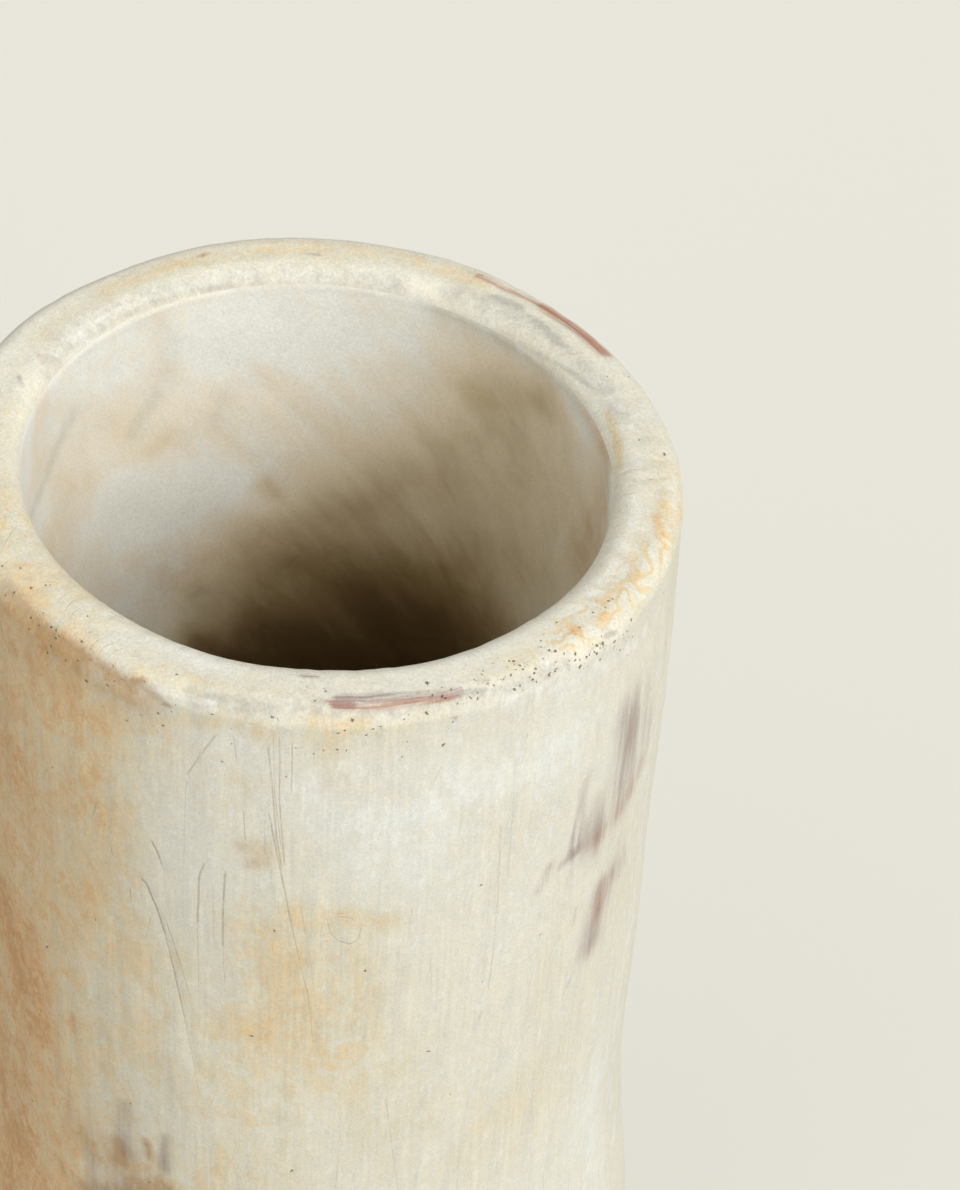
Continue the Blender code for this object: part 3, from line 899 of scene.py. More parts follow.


# The lining's brown stain and painted shade: how brown and dark it is at each depth in mm, partly a stain
# and partly painted shade deep inside, how much deeper the brown starts in some directions, which is painted
# light where the lamps reach further in, the tan run-off on the right, and marks by their picture points:
# name: (picture points, reach in mm, strength)
liningMarks = {
    # How brown and dark it is at each depth: partly a stain, partly painted shade that deepens down the
    # inside
    "depths": [
        (12, 0.02),
        (20, 0.04),
        (34, 0.09),
        (44, 0.21),
        (54, 0.44),
        (62, 0.62),
        (70, 0.77),
        (90, 1.0),
    ],
    # The delays keep the inside pale further down in the directions that the lamps light deeper: painted
    # light
    "delays": {"left": (137, 18, 54), "right": (16, 18, 26)},  # (direction, width in degrees, mm)
    "tan": {"facing": 42, "width": 20, "shade": 0.30, "grows": (-3, 11), "fades": (36, 60)},
    "swirls": (23, 26, (3, 9), (14, 42), 0.03),  # as a coat's waves, with their spread as a shade
    "shade": {
        "brownUpper": ([(420, 428), (475, 436)], 8, 0.08),
        "brownLowRight": ([(410, 555), (470, 550), (525, 565)], 9, 0.07),
        # Paler where the lamps light the top of the back wall: painted light
        "topWhite": ([(220, 335), (330, 330), (420, 335)], 12, -0.10),
        "leftFar": ([(40, 470), (64, 485), (60, 520)], 9, 0.08),
        "leftBand": ([(80, 436), (160, 444)], 8, 0.05),
        "leftStreakA": ([(62, 505), (100, 470), (150, 445)], 4, 0.04),
        "leftStreakB": ([(95, 565), (130, 535), (175, 510)], 5, -0.06),
        "leftStreakC": ([(112, 580), (146, 558), (168, 540)], 3.5, 0.02),
        "rightPale": ([(565, 395), (585, 430)], 5, -0.10),
        "leftSmudge": ([(152, 452), (166, 438)], 3.4, 0.10),
        "leftSmudgeLow": ([(60, 478), (72, 486)], 3.0, 0.08),
        "brownStart": ([(268, 484), (274, 492)], 4.5, 0.12),
        "brownStartLeft": ([(188, 575), (192, 590)], 5, 0.03),
        "brownStartLow": ([(215, 520), (240, 528)], 7, 0.07),
        "brownTop": ([(300, 516), (350, 500), (400, 484), (440, 456)], 9, 0.06),
        "brownMiddle": ([(350, 525), (440, 520)], 9, 0.03),
        "brownRight": ([(470, 392), (515, 398), (556, 405)], 7, 0.10),
        "paleSwirl": ([(205, 482), (262, 476)], 6, -0.06),
        "paleStreak": ([(120, 562), (150, 532), (200, 496)], 6.0, -0.06),
        "leftLow": ([(118, 622), (160, 630)], 7, 0.06),
        "lowLeftBrown": ([(194, 598), (188, 616), (188, 642)], 8, 0.20),
        "lowLeftDark": ([(182, 634), (200, 646)], 5, 0.12),
        "lowMiddle": ([(290, 600), (335, 625)], 9, -0.12),
        "middlePale": ([(262, 450), (300, 440)], 7, -0.04),
        # Paler where the lamps light the top of the back wall: painted light
        "topPale": ([(330, 338), (405, 340)], 8, -0.03),
        "paleRight": ([(500, 560), (560, 540)], 8, -0.06),
    },
    "tanBlots": {
        "leftPatch": ([(120, 500), (190, 505), (170, 545)], 11, 0.12),
        "rightEdge": ([(585, 396), (602, 425), (606, 460), (606, 490), (598, 530), (580, 560)], 9, 0.62),
        "rightOrange": ([(604, 425), (614, 455)], 4, 0.29),
        "rightLow": ([(560, 500), (588, 515)], 7, 0.29),
        "brownStart": ([(266, 482), (274, 492)], 4.0, 0.40),
        "leftBrown": ([(178, 578), (230, 548), (265, 536)], 10, 0.40),
        "rightBrown": ([(478, 396), (512, 392), (548, 392)], 7, 0.32),
        "middleBrown": ([(330, 520), (420, 490), (500, 474)], 10, 0.20),
        "lowBrown": ([(300, 600), (420, 590), (520, 560)], 12, 0.18),
        "leftWarm": ([(44, 430), (56, 500), (90, 560), (140, 600)], 15, 0.15),
        "leftMiddle": ([(90, 440), (150, 470)], 16, 0.03),
    },
    "grey": {
        "leftDarkLine": ([(72, 418), (58, 446), (42, 490), (33, 512)], 4.4, 0.40),
        "leftStreak": ([(150, 400), (134, 432)], 4.0, 0.34),
        "middleStreak": ([(225, 395), (215, 425)], 4.0, 0.25),
        # Grey along the crease where the slip meets the lining, and wider beside it: painted shade in the
        # crease
        "crease": (
            [(240, 285), (287, 285), (325, 289), (385, 297), (443, 311), (480, 326), (512, 343)],
            2.4,
            0.34,
        ),
        "paintedCreaseShade": ([(440, 316), (480, 336), (530, 362), (570, 390)], 6.0, 0.34),
        "topMottle": ([(160, 320), (170, 345), (165, 390)], 5.0, 0.25),
    },
}


def liningShade(skin):
    # Brown by depth, partly a stain and partly painted shade, delayed below 30 mm in the directions that the
    # lamps light further down, which is painted light, the tan run-off, and slanting finger marks
    angle = skin["angles"][None, :]
    mm = skin["rows"][:, None] * 1000
    delay = sum(far * bumpAt(angle, centre, width) for centre, width, far in liningMarks["delays"].values())
    depths, shades = zip(*liningMarks["depths"])
    tan = liningMarks["tan"]
    grows, fades = ((mm - low) / (high - low) for low, high in (tan["grows"], tan["fades"]))
    runOff = tan["shade"] * bumpAt(angle, tan["facing"], tan["width"]) * ease(grows) * (1 - ease(fades))
    swirls = waves(angle, mm / 1000, *liningMarks["swirls"])
    return np.interp(mm - delay * ease((mm - 30) / 20), depths, shades) + runOff + swirls


def liningRelief(skin):
    # The inside is smoother: slow swells, long slanting finger marks, and nothing at the coat's edge
    angle = skin["angles"][None, :]
    along = skin["rows"][:, None]
    uneven = sum(waves(angle, along, *look) for look in liningCoat["waves"].values())
    return uneven * ease(along / 0.003) - seamGroove(along)


def makeFoot():
    # The base slab, with its rounded lower edge, as a fine turned surface
    path = footPath()
    rows = rowPlaces(pathLengths(path)[-1], [(1.0, 0.0012)])
    angles = columnAngles(240, 0, 0)
    section = atPlaces(path, rows)[1:-1]
    poles = np.array([[0, 0, vaseShape["baseBottom"]], [0, 0, baseTop]])
    return ringMesh("foot_slab", turned(section, angles), poles)


slipSkin = layOut(slipCoat, slipPath)
meshOf("slip_coat", slipSkin, slipRelief(slipSkin))
layers = {kind: layerOf(slipSkin, marks, slipStrays.get(kind)) for kind, marks in slipMarks.items()}
mmDown = slipSkin["v"] * 1000
# These layers carry the painted light and shade noted among the marks, as well as the stains and wear
giveVectors(slipSkin, "warmth", np.stack([layers["ochre"], layers["umber"], layers["squiggle"]], -1))
giveVectors(slipSkin, "stainsAndPaintedLight", np.stack([layers["mauve"], layers["terracotta"], layers["grey"]], -1))
giveVectors(slipSkin, "wearAndPaintedLight", np.stack([layers["white"], layers["pits"], mmDown], -1))
drawn = [(onSurface(slipSkin, picture), strength) for picture, strength in slipScratches.values()]
for name, values in zip(scratchNames, scratchSets(slipSkin, drawn + hairlines(slipSkin))):
    giveVectors(slipSkin, name, values)
print("slip: marked")

liningSkin = layOut(liningCoat, liningPath)
meshOf("lining", liningSkin, liningRelief(liningSkin))
# The lining's shade value holds the brown stain together with the painted shade by depth
shade = liningShade(liningSkin) + layerOf(liningSkin, liningMarks["shade"])
blots = [layerOf(liningSkin, liningMarks[kind]) for kind in ("tanBlots", "grey")]
giveVectors(liningSkin, "stainAndShade", np.stack([shade, *blots], -1))
print("lining: marked")

footSlab = makeFoot()


# Materials


def addNode(tree, kind, inputs=None, stops=(), **settings):
    # One node: settings are its own properties, inputs are values for its sockets or sockets to link
    # from, and stops are a colour ramp's places and colours
    node = tree.nodes.new(kind)
    for name, value in settings.items():
        setattr(node, name, value)
    for socket, value in (inputs or {}).items():
        if isinstance(value, bpy.types.NodeSocket):
            tree.links.new(value, node.inputs[socket])
        else:
            node.inputs[socket].default_value = value
    for number, (place, colour) in enumerate(stops):
        ramp = node.color_ramp.elements
        element = ramp[number] if number < 2 else ramp.new(place)
        element.position = place
        element.color = linearColour(colour)
    return node


def newMaterial(name):
    material = bpy.data.materials.new(name)
    material.use_nodes = True
    tree = material.node_tree
    return material, tree, tree.nodes["Principled BSDF"]


def addGrains(tree, place, grains):
    # Noises of the surface, each stretched to about 0 to 1: name: (stretch, pitch in mm, detail,
    # roughness, warp)
    made = {}
    for name, (stretch, pitch, detail, roughness, warp) in grains.items():
        at = addNode(tree, "ShaderNodeVectorMath", {0: place, 1: stretch}, operation="MULTIPLY").outputs[0]
        look = {"Vector": at, "Scale": 1000 / pitch, "Detail": detail}
        look |= {"Roughness": roughness, "Distortion": warp}
        noise = addNode(tree, "ShaderNodeTexNoise", look).outputs[0]
        made[name] = addNode(tree, "ShaderNodeMapRange", {0: noise, 1: 0.3, 2: 0.7}, clamp=False).outputs[0]
    return made


def addUp(tree, start, parts):
    # start plus each socket times its share, less half the share, so that a middling grain changes
    # nothing
    total = start
    for socket, share in parts:
        sum3 = {0: socket, 1: share, 2: total}
        total = addNode(tree, "ShaderNodeMath", sum3, operation="MULTIPLY_ADD").outputs[0]
    middle = sum(share for _, share in parts) / 2
    return addNode(tree, "ShaderNodeMath", {0: total, 1: middle}, operation="SUBTRACT").outputs[0]


def layOver(tree, colour, mask, hexColour):
    # A second colour over the first where the mask is 1
    layer = {0: mask, 6: colour, 7: linearColour(hexColour)}
    return addNode(tree, "ShaderNodeMix", layer, data_type="RGBA").outputs[2]


# Brushed slip: white-firing clay brushed on red-brown stoneware and rubbed with ochre, fired matt. It
# gives the eye a chalky cream with warm clouds, fine upright brush lines, hairline scratches and specks
# of grog.
slipFinish = {
    "grains": {
        "clouds": ((1, 1, 0.6), 17, 2, 0.5, 0.3),
        "blotches": ((1, 1, 0.75), 7.5, 6, 0.66, 0.5),
        "mottle": ((1, 1, 0.55), 2.2, 4, 0.62, 0.5),
        "dabs": ((1, 1, 0.70), 1.35, 3, 0.60, 0.6),
        "flecks": ((1, 1, 0.5), 1.2, 3, 0.60, 0.3),
        "speckle": ((1, 1, 1), 0.45, 2, 0.60, 0.0),
        "brush": ((1, 1, 0.04), 0.7, 4, 0.70, 0.0),
        "trowel": ((1, 1, 0.07), 2.6, 4, 0.60, 0.0),
    },
    "toneShares": {"clouds": 0.18, "mottle": 0.15, "speckle": 0.02, "brush": 0.05, "trowel": 0.11},
    "lightShares": {"brush": 0.16, "speckle": 0.14, "mottle": 0.10, "trowel": 0.09},
    "evenOchre": 1.0,  # the tone that full ochre adds
    "patchyOchre": 0.24,  # ochre up to this much lies in blotches and dabs as well
    "blotches": (0.36, 0.62, -0.46, 0.46),  # where a blotch starts and is full, the ochre beside and in it
    "dabs": (0.46, 0.66, 0.03, 0.50),  # where a dab starts and is full, its least ochre and how much more
    "flecks": (0.66, 0.80, -0.15),  # where a pale fleck starts and is full, and how much paler it is
    "lipCrumbs": 0.06,  # how much lighter and darker the grit makes the lip, on top of the body's share
    "crumbsEnd": (16.0, 12.0),  # mm down the section, where they are gone and where they are full
    "baseTone": 0.30,
    "toneSpan": 1.5,  # the tone at the ramp's right end
    "tones": [
        (0.0, "#EDEDE2"),
        (0.17, "#E7E3D2"),
        (0.34, "#E3DCC4"),
        (0.50, "#E3D4B3"),
        (0.67, "#E5CDA2"),
        (0.84, "#E2BC8C"),
        (1.0, "#D4A775"),
    ],
    "stainsAndPaintedLight": {  # kind: (colour, grain that frays it, how much, where its mask starts and ends, strength)
        # The umber, grey and white here also paint the shade and highlights noted among the marks
        "umber": ("#B08044", "mottle", 0.9, 0.0, 1.20, 0.66),
        "grey": ("#A5A299", "mottle", 1.0, 0.15, 0.95, 0.62),
        "mauve": ("#957E78", "strokes", 1.25, 0.0, 1.6, 0.82),
        "terracotta": ("#A96E52", "strokes", 1.2, 0.0, 1.9, 0.90),
        "white": ("#F1EFE7", "mottle", 1.5, 0.20, 1.00, 0.75),
    },
    "squigglePitch": 4.0,  # mm
    "squiggleTone": 0.38,
    "squiggleBand": (0.045, 0.120, -0.04),  # where a loop fades and is gone, and the tone between loops
    "brushPatches": (0.1, 0.9, 0.3, 1.0),  # the clouds between which the brush shows, from little to full
    "uprightStrokes": (340, 340, 26),  # strokes a metre each way
    "ringStrokes": (110, 110, 0),
    "ringStrokesDown": 2.2,  # strokes a mm down the section
    "lipEnds": (13.6, 15.6),  # mm down the section
    "scratchColour": "#A08E73",
    "scratchWidth": (0.03, 0.46),  # mm, and mm more at full strength
    "pitColour": "#57432F",
    "pitPitch": 0.70,  # mm between the places where a pit may be
    "pitReach": (0.08, 0.44),  # the smallest and the largest pit, as shares of that pitch
    "pitSizes": 2.6,  # the power that makes small pits the most common
    "pitEdge": (-0.03, 0.06),  # how far outside its rim a pit starts, and how far inside it is full
    "pitWarp": (2400.0, 0.0008),  # the scale of the noise that makes them ragged, and metres at most
    "dust": {"pits": 0.8, "scratches": 0.60},  # how much of their colour shows
    "relief": {"brush": 0.022, "speckle": 0.014, "mottle": 0.030, "trowel": 0.020},  # mm
    "pitDepth": -0.10,
    "scratchDepth": -0.15,
    "roughness": 0.74,
}


def strokesAlongTheBrush(tree, place, mmDown):
    # Strokes lie along the brush: upright on the body, about 3 mm wide, and round the vase on the lip
    made = []
    look = slipFinish
    ringLift = {0: mmDown, 1: look["ringStrokesDown"]}
    ringLift = addNode(tree, "ShaderNodeMath", ringLift, operation="MULTIPLY").outputs[0]
    ringLift = addNode(tree, "ShaderNodeCombineXYZ", {"Z": ringLift}).outputs[0]
    for stretch, lift in ((look["uprightStrokes"], (0, 0, 0)), (look["ringStrokes"], ringLift)):
        at = {0: place, 1: stretch, 2: lift}
        at = addNode(tree, "ShaderNodeVectorMath", at, operation="MULTIPLY_ADD").outputs[0]
        noise = {"Vector": at, "Scale": 1.0, "Detail": 4.0, "Roughness": 0.6, "Distortion": 0.2}
        noise = addNode(tree, "ShaderNodeTexNoise", noise).outputs[0]
        made.append(addNode(tree, "ShaderNodeMapRange", {0: noise, 1: 0.3, 2: 0.7}, clamp=False).outputs[0])
    upright, ringed = made
    starts, full = look["lipEnds"]
    onBody = addNode(tree, "ShaderNodeMapRange", {0: mmDown, 1: starts, 2: full}).outputs[0]
    return addNode(tree, "ShaderNodeMix", {0: onBody, 2: ringed, 3: upright}).outputs[0]


def ochreLoops(tree, place, squiggle):
    # Worm-like ochre loops: a noise's contour band, about 1.5 mm wide
    look = slipFinish
    fades, gone, between = look["squiggleBand"]
    loops = {"Vector": place, "Scale": 1000 / look["squigglePitch"], "Detail": 0.6, "Distortion": 0.7}
    loops = addNode(tree, "ShaderNodeTexNoise", loops).outputs[0]
    loops = addNode(tree, "ShaderNodeMath", {0: loops, 1: 0.5}, operation="SUBTRACT").outputs[0]
    loops = addNode(tree, "ShaderNodeMath", {0: loops}, operation="ABSOLUTE").outputs[0]
    band = {0: loops, 1: fades, 2: gone, 3: look["squiggleTone"], 4: between}
    loops = addNode(tree, "ShaderNodeMapRange", band, interpolation_type="SMOOTHSTEP").outputs[0]
    return addNode(tree, "ShaderNodeMath", {0: loops, 1: squiggle}, operation="MULTIPLY").outputs[0]


def slipTone(tree, grains, ochre, loops):
    # From pale grey-white through cream to ochre: the rubbed ochre, its crisp dabs and the slip's pale
    # flecks
    look = slipFinish
    starts, full, least, more = look["dabs"]
    dabs = {0: grains["dabs"], 1: starts, 2: full}
    dabs = addNode(tree, "ShaderNodeMapRange", dabs, interpolation_type="SMOOTHSTEP").outputs[0]
    patchy = {0: ochre, 1: look["patchyOchre"]}
    patchy = addNode(tree, "ShaderNodeMath", patchy, operation="MINIMUM").outputs[0]
    amount = {0: patchy, 1: more, 2: least}
    amount = addNode(tree, "ShaderNodeMath", amount, operation="MULTIPLY_ADD").outputs[0]
    dabs = addNode(tree, "ShaderNodeMath", {0: dabs, 1: amount}, operation="MULTIPLY").outputs[0]
    starts, full, beside, within = look["blotches"]
    blotches = {0: grains["blotches"], 1: starts, 2: full, 3: beside, 4: within}
    blotches = addNode(tree, "ShaderNodeMapRange", blotches, interpolation_type="SMOOTHSTEP").outputs[0]
    blotches = addNode(tree, "ShaderNodeMath", {0: patchy, 1: blotches}, operation="MULTIPLY").outputs[0]
    even = addNode(tree, "ShaderNodeMath", {0: ochre, 1: look["evenOchre"]}, operation="MULTIPLY").outputs[0]
    starts, full, share = look["flecks"]
    flecks = {0: grains["flecks"], 1: starts, 2: full, 3: 0.0, 4: share}
    flecks = addNode(tree, "ShaderNodeMapRange", flecks, interpolation_type="SMOOTHSTEP").outputs[0]
    tone = look["baseTone"]
    for part in (even, blotches, loops, dabs, flecks):
        tone = addNode(tree, "ShaderNodeMath", {0: part, 1: tone}, operation="ADD").outputs[0]
    tone = addUp(tree, tone, [(grains[name], share) for name, share in look["toneShares"].items()])
    return addNode(tree, "ShaderNodeMath", {0: tone, 1: look["toneSpan"]}, operation="DIVIDE").outputs[0]


def grogPits(tree, place, pits):
    # Small ragged pits: the centres of warped cells, where a cell's own random number falls under the
    # density there. A second number of the cell gives the pit's size.
    look = slipFinish
    smallest, largest = look["pitReach"]
    starts, full = look["pitEdge"]
    warpScale, furthest = look["pitWarp"]
    warp = {"Vector": place, "Scale": warpScale, "Detail": 1.0}
    warp = addNode(tree, "ShaderNodeTexNoise", warp).outputs["Color"]
    warped = {0: warp, 1: (furthest, furthest, furthest), 2: place}
    warped = addNode(tree, "ShaderNodeVectorMath", warped, operation="MULTIPLY_ADD").outputs[0]
    cells = addNode(tree, "ShaderNodeTexVoronoi", {"Vector": warped, "Scale": 1000 / look["pitPitch"]})
    draw, size, _ = addNode(tree, "ShaderNodeSeparateXYZ", {0: cells.outputs["Color"]}).outputs
    chosen = addNode(tree, "ShaderNodeMath", {0: pits, 1: draw}, operation="GREATER_THAN").outputs[0]
    size = addNode(tree, "ShaderNodeMath", {0: size, 1: look["pitSizes"]}, operation="POWER").outputs[0]
    reach = addNode(tree, "ShaderNodeMapRange", {0: size, 3: smallest, 4: largest}).outputs[0]
    inside = {0: reach, 1: cells.outputs["Distance"]}
    inside = addNode(tree, "ShaderNodeMath", inside, operation="SUBTRACT").outputs[0]
    pit = {0: inside, 1: starts, 2: full}
    pit = addNode(tree, "ShaderNodeMapRange", pit, interpolation_type="SMOOTHSTEP").outputs[0]
    return addNode(tree, "ShaderNodeMath", {0: pit, 1: chosen}, operation="MULTIPLY").outputs[0]


def scratchLines(tree, sets, breaks):
    # Scratches: 1 in the middle of a strong one, wider the stronger it is, tapering to its ends and
    # broken up a little by a grain
    narrow, wider = slipFinish["scratchWidth"]
    scratch = 0.0
    for across, inside, strength in sets:
        apart = addNode(tree, "ShaderNodeMath", {0: across}, operation="ABSOLUTE").outputs[0]
        width = {0: strength, 1: wider, 2: narrow}
        width = addNode(tree, "ShaderNodeMath", width, operation="MULTIPLY_ADD").outputs[0]
        line = {0: apart, 1: width, 2: 0.0, 3: 0.0, 4: 1.0}
        line = addNode(tree, "ShaderNodeMapRange", line, interpolation_type="SMOOTHSTEP").outputs[0]
        taper = addNode(tree, "ShaderNodeMapRange", {0: inside, 1: -0.15, 2: 0.9}).outputs[0]
        for part in (taper, strength):
            line = addNode(tree, "ShaderNodeMath", {0: line, 1: part}, operation="MULTIPLY").outputs[0]
        scratch = addNode(tree, "ShaderNodeMath", {0: scratch, 1: line}, operation="MAXIMUM").outputs[0]
    breaks = addNode(tree, "ShaderNodeMapRange", {0: breaks, 1: 0.2, 2: 0.6, 3: 0.45, 4: 1.0}).outputs[0]
    return addNode(tree, "ShaderNodeMath", {0: scratch, 1: breaks}, operation="MULTIPLY").outputs[0]


def brushedSlip():
    look = slipFinish
    material, tree, shader = newMaterial("brushedSlip")
    place = addNode(tree, "ShaderNodeTexCoord").outputs["Object"]
    vectors = {}
    for name in ("warmth", "stainsAndPaintedLight", "wearAndPaintedLight", *scratchNames):
        source = addNode(tree, "ShaderNodeAttribute", attribute_name=name)
        vectors[name] = addNode(tree, "ShaderNodeSeparateXYZ", {0: source.outputs["Vector"]}).outputs
    ochre, umber, squiggle = vectors["warmth"]
    mauve, terracotta, grey = vectors["stainsAndPaintedLight"]
    white, pits, mmDown = vectors["wearAndPaintedLight"]
    marks = {"umber": umber, "grey": grey, "mauve": mauve, "terracotta": terracotta, "white": white}
    grains = addGrains(tree, place, look["grains"])
    patchy = {0: grains["clouds"]} | dict(enumerate(look["brushPatches"], 1))
    patchy = addNode(tree, "ShaderNodeMapRange", patchy).outputs[0]
    brushed = {0: patchy, 2: 0.5, 3: grains["brush"]}
    grains["brush"] = addNode(tree, "ShaderNodeMix", brushed, clamp_factor=True).outputs[0]
    grains["strokes"] = strokesAlongTheBrush(tree, place, mmDown)
    tone = slipTone(tree, grains, ochre, ochreLoops(tree, place, squiggle))
    colour = addNode(tree, "ShaderNodeValToRGB", {0: tone}, stops=look["tones"]).outputs[0]

    # Stains and painted light and shade, each frayed by its grain
    for kind, (markColour, grain, fray, low, high, strength) in look["stainsAndPaintedLight"].items():
        frayed = addUp(tree, 1.0, [(grains[grain], fray)])
        frayed = {0: frayed, 1: marks[kind]}
        frayed = addNode(tree, "ShaderNodeMath", frayed, operation="MULTIPLY").outputs[0]
        mask = {0: frayed, 1: low, 2: high, 3: 0.0, 4: strength}
        mask = addNode(tree, "ShaderNodeMapRange", mask, interpolation_type="SMOOTHSTEP").outputs[0]
        colour = layOver(tree, colour, mask, markColour)

    # Pits and scratches, part filled with dust
    pit = grogPits(tree, place, pits)
    dusty = {0: pit, 1: look["dust"]["pits"]}
    dusty = addNode(tree, "ShaderNodeMath", dusty, operation="MULTIPLY").outputs[0]
    colour = layOver(tree, colour, dusty, look["pitColour"])
    scratch = scratchLines(tree, [vectors[name] for name in scratchNames], grains["mottle"])
    dusty = {0: scratch, 1: look["dust"]["scratches"]}
    dusty = addNode(tree, "ShaderNodeMath", dusty, operation="MULTIPLY").outputs[0]
    colour = layOver(tree, colour, dusty, look["scratchColour"])

    # The brush and the grit make the colour a little lighter and darker
    light = addUp(tree, 1.0, [(grains[name], share) for name, share in look["lightShares"].items()])
    gone, full = look["crumbsEnd"]
    onLip = {0: mmDown, 1: gone, 2: full, 3: 0.0, 4: look["lipCrumbs"]}
    onLip = addNode(tree, "ShaderNodeMapRange", onLip).outputs[0]
    crumbs = addNode(tree, "ShaderNodeMath", {0: grains["speckle"], 1: 0.5}, operation="SUBTRACT").outputs[0]
    light = {0: crumbs, 1: onLip, 2: light}
    light = addNode(tree, "ShaderNodeMath", light, operation="MULTIPLY_ADD").outputs[0]
    colour = addNode(tree, "ShaderNodeVectorMath", {0: colour, "Scale": light}, operation="SCALE").outputs[0]
    tree.links.new(colour, shader.inputs["Base Color"])

    # Height in mm: brush lines, grit, soft lumps, scratches and pits
    height = addUp(tree, 0.0, [(grains[name], share) for name, share in look["relief"].items()])
    for hollow, depth in ((scratch, look["scratchDepth"]), (pit, look["pitDepth"])):
        height = {0: hollow, 1: depth, 2: height}
        height = addNode(tree, "ShaderNodeMath", height, operation="MULTIPLY_ADD").outputs[0]
    bump = addNode(tree, "ShaderNodeBump", {"Height": height, "Strength": 1.0, "Distance": 0.001})
    tree.links.new(bump.outputs[0], shader.inputs["Normal"])
    rough = addUp(tree, look["roughness"], [(grains["mottle"], 0.10), (grains["brush"], 0.06)])
    tree.links.new(rough, shader.inputs["Roughness"])
    return material


# Satin lining: a thin pale wash over smoothed clay, stained brown by water and stems, with a low sheen.
# It gives the eye a cool grey-white at the top that warms and darkens downwards: the darkening is partly
# that stain and partly painted shade deep inside, and there is painted shade along the crease at the lip.
liningFinish = {
    "grains": {
        "clouds": ((1, 1, 1), 15, 3, 0.55, 0.5),
        "blots": ((1, 1, 1), 5.0, 4, 0.58, 0.8),
        "grit": ((1, 1, 1), 0.5, 3, 0.65, 0.0),
    },
    "wipes": {"wipes": ((1, 1, 0.16), 5.0, 3, 0.55, 0.4)},
    "wipeLean": 38,  # degrees from upright, seen from the front
    "toneShares": {"clouds": 0.07, "blots": 0.06, "grit": 0.04, "wipes": 0.11},
    "lightShares": {"grit": 0.20, "blots": 0.06},
    "relief": {"grit": 0.012, "blots": 0.05, "wipes": 0.04},  # mm
    "tones": [
        (0.0, "#F0F0E6"),
        (0.07, "#EEE7D6"),
        (0.20, "#E8DBC1"),
        (0.36, "#D6C8A8"),
        (0.52, "#B9A582"),
        (0.68, "#8E7852"),
        (0.84, "#6B5534"),
        (1.0, "#574225"),
    ],
    # The grey that these fray includes painted shade along the crease
    "markFray": 0.7,
    "markMask": (-0.1, 1.2, -0.01, 0.80),  # where a stain starts and is full, and its least and most
    "tanColour": "#BFA074",
    "greyColour": "#ABA896",
    "roughness": 0.50,
}


def satinLining():
    look = liningFinish
    material, tree, shader = newMaterial("satinLining")
    place = addNode(tree, "ShaderNodeTexCoord").outputs["Object"]
    # The attribute holds the brown stain with painted shade by depth, the tan, and the grey with painted
    # shade in the crease
    source = addNode(tree, "ShaderNodeAttribute", attribute_name="stainAndShade").outputs["Vector"]
    shade, tan, grey = addNode(tree, "ShaderNodeSeparateXYZ", {0: source}).outputs
    grains = addGrains(tree, place, look["grains"])
    lean = {"Vector": place, "Rotation": (0, math.radians(look["wipeLean"]), 0)}
    leaning = addNode(tree, "ShaderNodeMapping", lean).outputs[0]
    grains |= addGrains(tree, leaning, look["wipes"])
    tone = addUp(tree, shade, [(grains[name], share) for name, share in look["toneShares"].items()])
    colour = addNode(tree, "ShaderNodeValToRGB", {0: tone}, stops=look["tones"]).outputs[0]
    for mark, markColour in ((tan, look["tanColour"]), (grey, look["greyColour"])):
        frayed = addUp(tree, 1.0, [(grains["blots"], look["markFray"])])
        frayed = addNode(tree, "ShaderNodeMath", {0: frayed, 1: mark}, operation="MULTIPLY").outputs[0]
        mask = {0: frayed} | dict(enumerate(look["markMask"], 1))
        mask = addNode(tree, "ShaderNodeMapRange", mask, interpolation_type="SMOOTHSTEP").outputs[0]
        colour = layOver(tree, colour, mask, markColour)
    light = addUp(tree, 1.0, [(grains[name], share) for name, share in look["lightShares"].items()])
    colour = addNode(tree, "ShaderNodeVectorMath", {0: colour, "Scale": light}, operation="SCALE").outputs[0]
    tree.links.new(colour, shader.inputs["Base Color"])
    height = addUp(tree, 0.0, [(grains[name], share) for name, share in look["relief"].items()])
    bump = addNode(tree, "ShaderNodeBump", {"Height": height, "Strength": 1.0, "Distance": 0.001})
    tree.links.new(bump.outputs[0], shader.inputs["Normal"])
    rough = addUp(tree, look["roughness"], [(grains["blots"], 0.12)])
    tree.links.new(rough, shader.inputs["Roughness"])
    return material


# Bare stoneware: iron-rich clay fired without a coat. It gives the eye a dry red-brown with dark iron
# specks.
clayFinish = {
    "grains": {"clouds": ((1, 1, 1), 9, 3, 0.55, 0.3), "grit": ((1, 1, 1), 0.8, 4, 0.7, 0.0)},
    "tones": [(0.0, "#8C5440"), (0.5, "#A8674F"), (1.0, "#C08A6C")],
    "roughness": 0.85,
}

# Pressed felt: short grey wool fibres. It gives the eye a soft matt grey with no grain direction.
feltFinish = {
    "grains": {"clouds": ((1, 1, 0.3), 2.5, 3, 0.6, 0.0), "grit": ((1, 1, 0.3), 0.35, 4, 0.75, 1.0)},
    "tones": [(0.0, "#6E6B66"), (0.5, "#8A8781"), (1.0, "#A8A49C")],
    "roughness": 0.95,
}


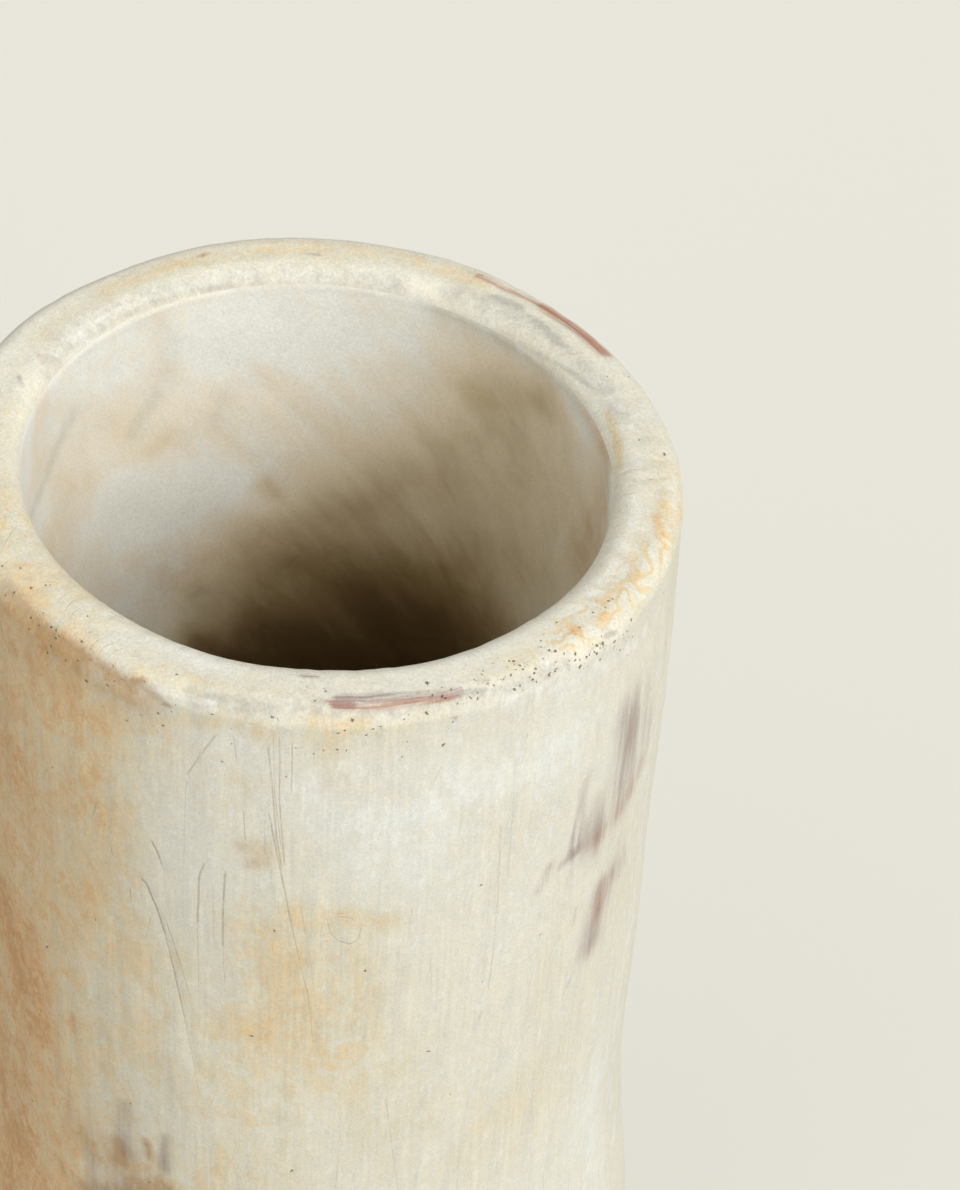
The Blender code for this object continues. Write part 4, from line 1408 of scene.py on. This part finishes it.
def grainyMaterial(name, look):
    material, tree, shader = newMaterial(name)
    place = addNode(tree, "ShaderNodeTexCoord").outputs["Object"]
    grains = addGrains(tree, place, look["grains"])
    tone = addUp(tree, 0.5, [(grains["clouds"], 0.4), (grains["grit"], 0.6)])
    colour = addNode(tree, "ShaderNodeValToRGB", {0: tone}, stops=look["tones"]).outputs[0]
    tree.links.new(colour, shader.inputs["Base Color"])
    height = addUp(tree, 0.0, [(grains["grit"], 0.06), (grains["clouds"], 0.05)])
    bump = addNode(tree, "ShaderNodeBump", {"Height": height, "Strength": 1.0, "Distance": 0.001})
    tree.links.new(bump.outputs[0], shader.inputs["Normal"])
    shader.inputs["Roughness"].default_value = look["roughness"]
    return material


bareStoneware = grainyMaterial("bareStoneware", clayFinish)
pressedFelt = grainyMaterial("pressedFelt", feltFinish)
dressed = [  # (piece, the node that it replaces, material slot, material)
    (slipSkin["piece"], "outer_slip", "cream_slip", brushedSlip()),
    (liningSkin["piece"], "liner_glaze", "liner_glaze", satinLining()),
    (footSlab, "base_slab", "bare_stoneware", bareStoneware),
]
for piece, node, slotName, material in dressed:
    piece.data.materials.append(material)
    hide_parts(node)
    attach(piece, "root")
for name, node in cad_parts.items():
    kept = pressedFelt if name.startswith("felt_pad") else bareStoneware
    for slot in node.material_slots:
        slot.material = kept
print("materials: done")

# Studio
studio = {
    "background": "#E5E3D7",
    "floorSeen": "#F0EEE2",
    "floorBounce": "#8C8A84",
    "floorSize": 12.0,
    "evenShare": 0.5,
    "skyStrength": 0.37,
    "lamps": {  # name: (strength, softness, degrees to the right of the front, degrees above level)
        "keyLight": (2.25, 45, 42, 36),
        "sideLight": (0.45, 60, 100, 15),
        "fillLight": (0.75, 60, -45, 33),
    },
}


def makeStudio():
    background = linearColour(studio["background"])
    world = bpy.data.worlds.new("studio")
    world.use_nodes = True
    tree = world.node_tree
    tree.nodes.clear()
    light = addNode(tree, "ShaderNodeBackground", {"Color": (1, 1, 1, 1), "Strength": studio["skyStrength"]})
    seen = addNode(tree, "ShaderNodeBackground", {"Color": background, "Strength": 1.0})
    both = {0: seenRays(tree), 1: light.outputs[0], 2: seen.outputs[0]}
    either = addNode(tree, "ShaderNodeMixShader", both)
    addNode(tree, "ShaderNodeOutputWorld", {"Surface": either.outputs[0]})
    bpy.context.scene.world = world

    for name, (strength, softness, azimuth, height) in studio["lamps"].items():
        lamp = bpy.data.lights.new(name, "SUN")
        lamp.energy = strength
        lamp.angle = math.radians(softness)
        sun = bpy.data.objects.new(name, lamp)
        sun.rotation_euler = (math.radians(90 - height), 0, math.radians(azimuth))
        bpy.context.scene.collection.objects.link(sun)

    half = studio["floorSize"] / 2
    mesh = bpy.data.meshes.new("floor")
    corners = [(-half, -half, 0), (half, -half, 0), (half, half, 0), (-half, half, 0)]
    mesh.from_pydata(corners, [], [(0, 1, 2, 3)])
    floor = bpy.data.objects.new("floor", mesh)
    bpy.context.scene.collection.objects.link(floor)
    mesh.materials.append(floorPaper())


def seenRays(tree):
    # 1 for rays that show the background itself, seen straight, in a reflection or through something
    rays = addNode(tree, "ShaderNodeLightPath")
    pair = {0: rays.outputs["Is Camera Ray"], 1: rays.outputs["Is Glossy Ray"]}
    direct = addNode(tree, "ShaderNodeMath", pair, operation="MAXIMUM")
    pair = {0: direct.outputs[0], 1: rays.outputs["Is Transmission Ray"]}
    return addNode(tree, "ShaderNodeMath", pair, operation="MAXIMUM").outputs[0]


def floorPaper():
    # Pale matt paper, which throws little of the light back up. Where it is seen, half of it is its own
    # shade in this light, with the vase's shadow, and half the backdrop's even tone.
    paper = bpy.data.materials.new("floorPaper")
    paper.use_nodes = True
    tree = paper.node_tree
    shader = tree.nodes["Principled BSDF"]
    seen = seenRays(tree)
    colours = {0: seen, 6: linearColour(studio["floorBounce"]), 7: linearColour(studio["floorSeen"])}
    tone = addNode(tree, "ShaderNodeMix", colours, data_type="RGBA")
    tree.links.new(tone.outputs[2], shader.inputs["Base Color"])
    shader.inputs["Roughness"].default_value = 1.0
    shader.inputs["Specular IOR Level"].default_value = 0.0
    background = linearColour(studio["background"])
    even = addNode(tree, "ShaderNodeEmission", {"Color": background, "Strength": 1.0})
    share = addNode(tree, "ShaderNodeMath", {0: seen, 1: studio["evenShare"]}, operation="MULTIPLY")
    both = {0: share.outputs[0], 1: shader.outputs[0], 2: even.outputs[0]}
    either = addNode(tree, "ShaderNodeMixShader", both)
    tree.links.new(either.outputs[0], tree.nodes["Material Output"].inputs["Surface"])
    return paper


makeStudio()
bpy.context.scene.view_settings.view_transform = "Standard"

print("studio: done")
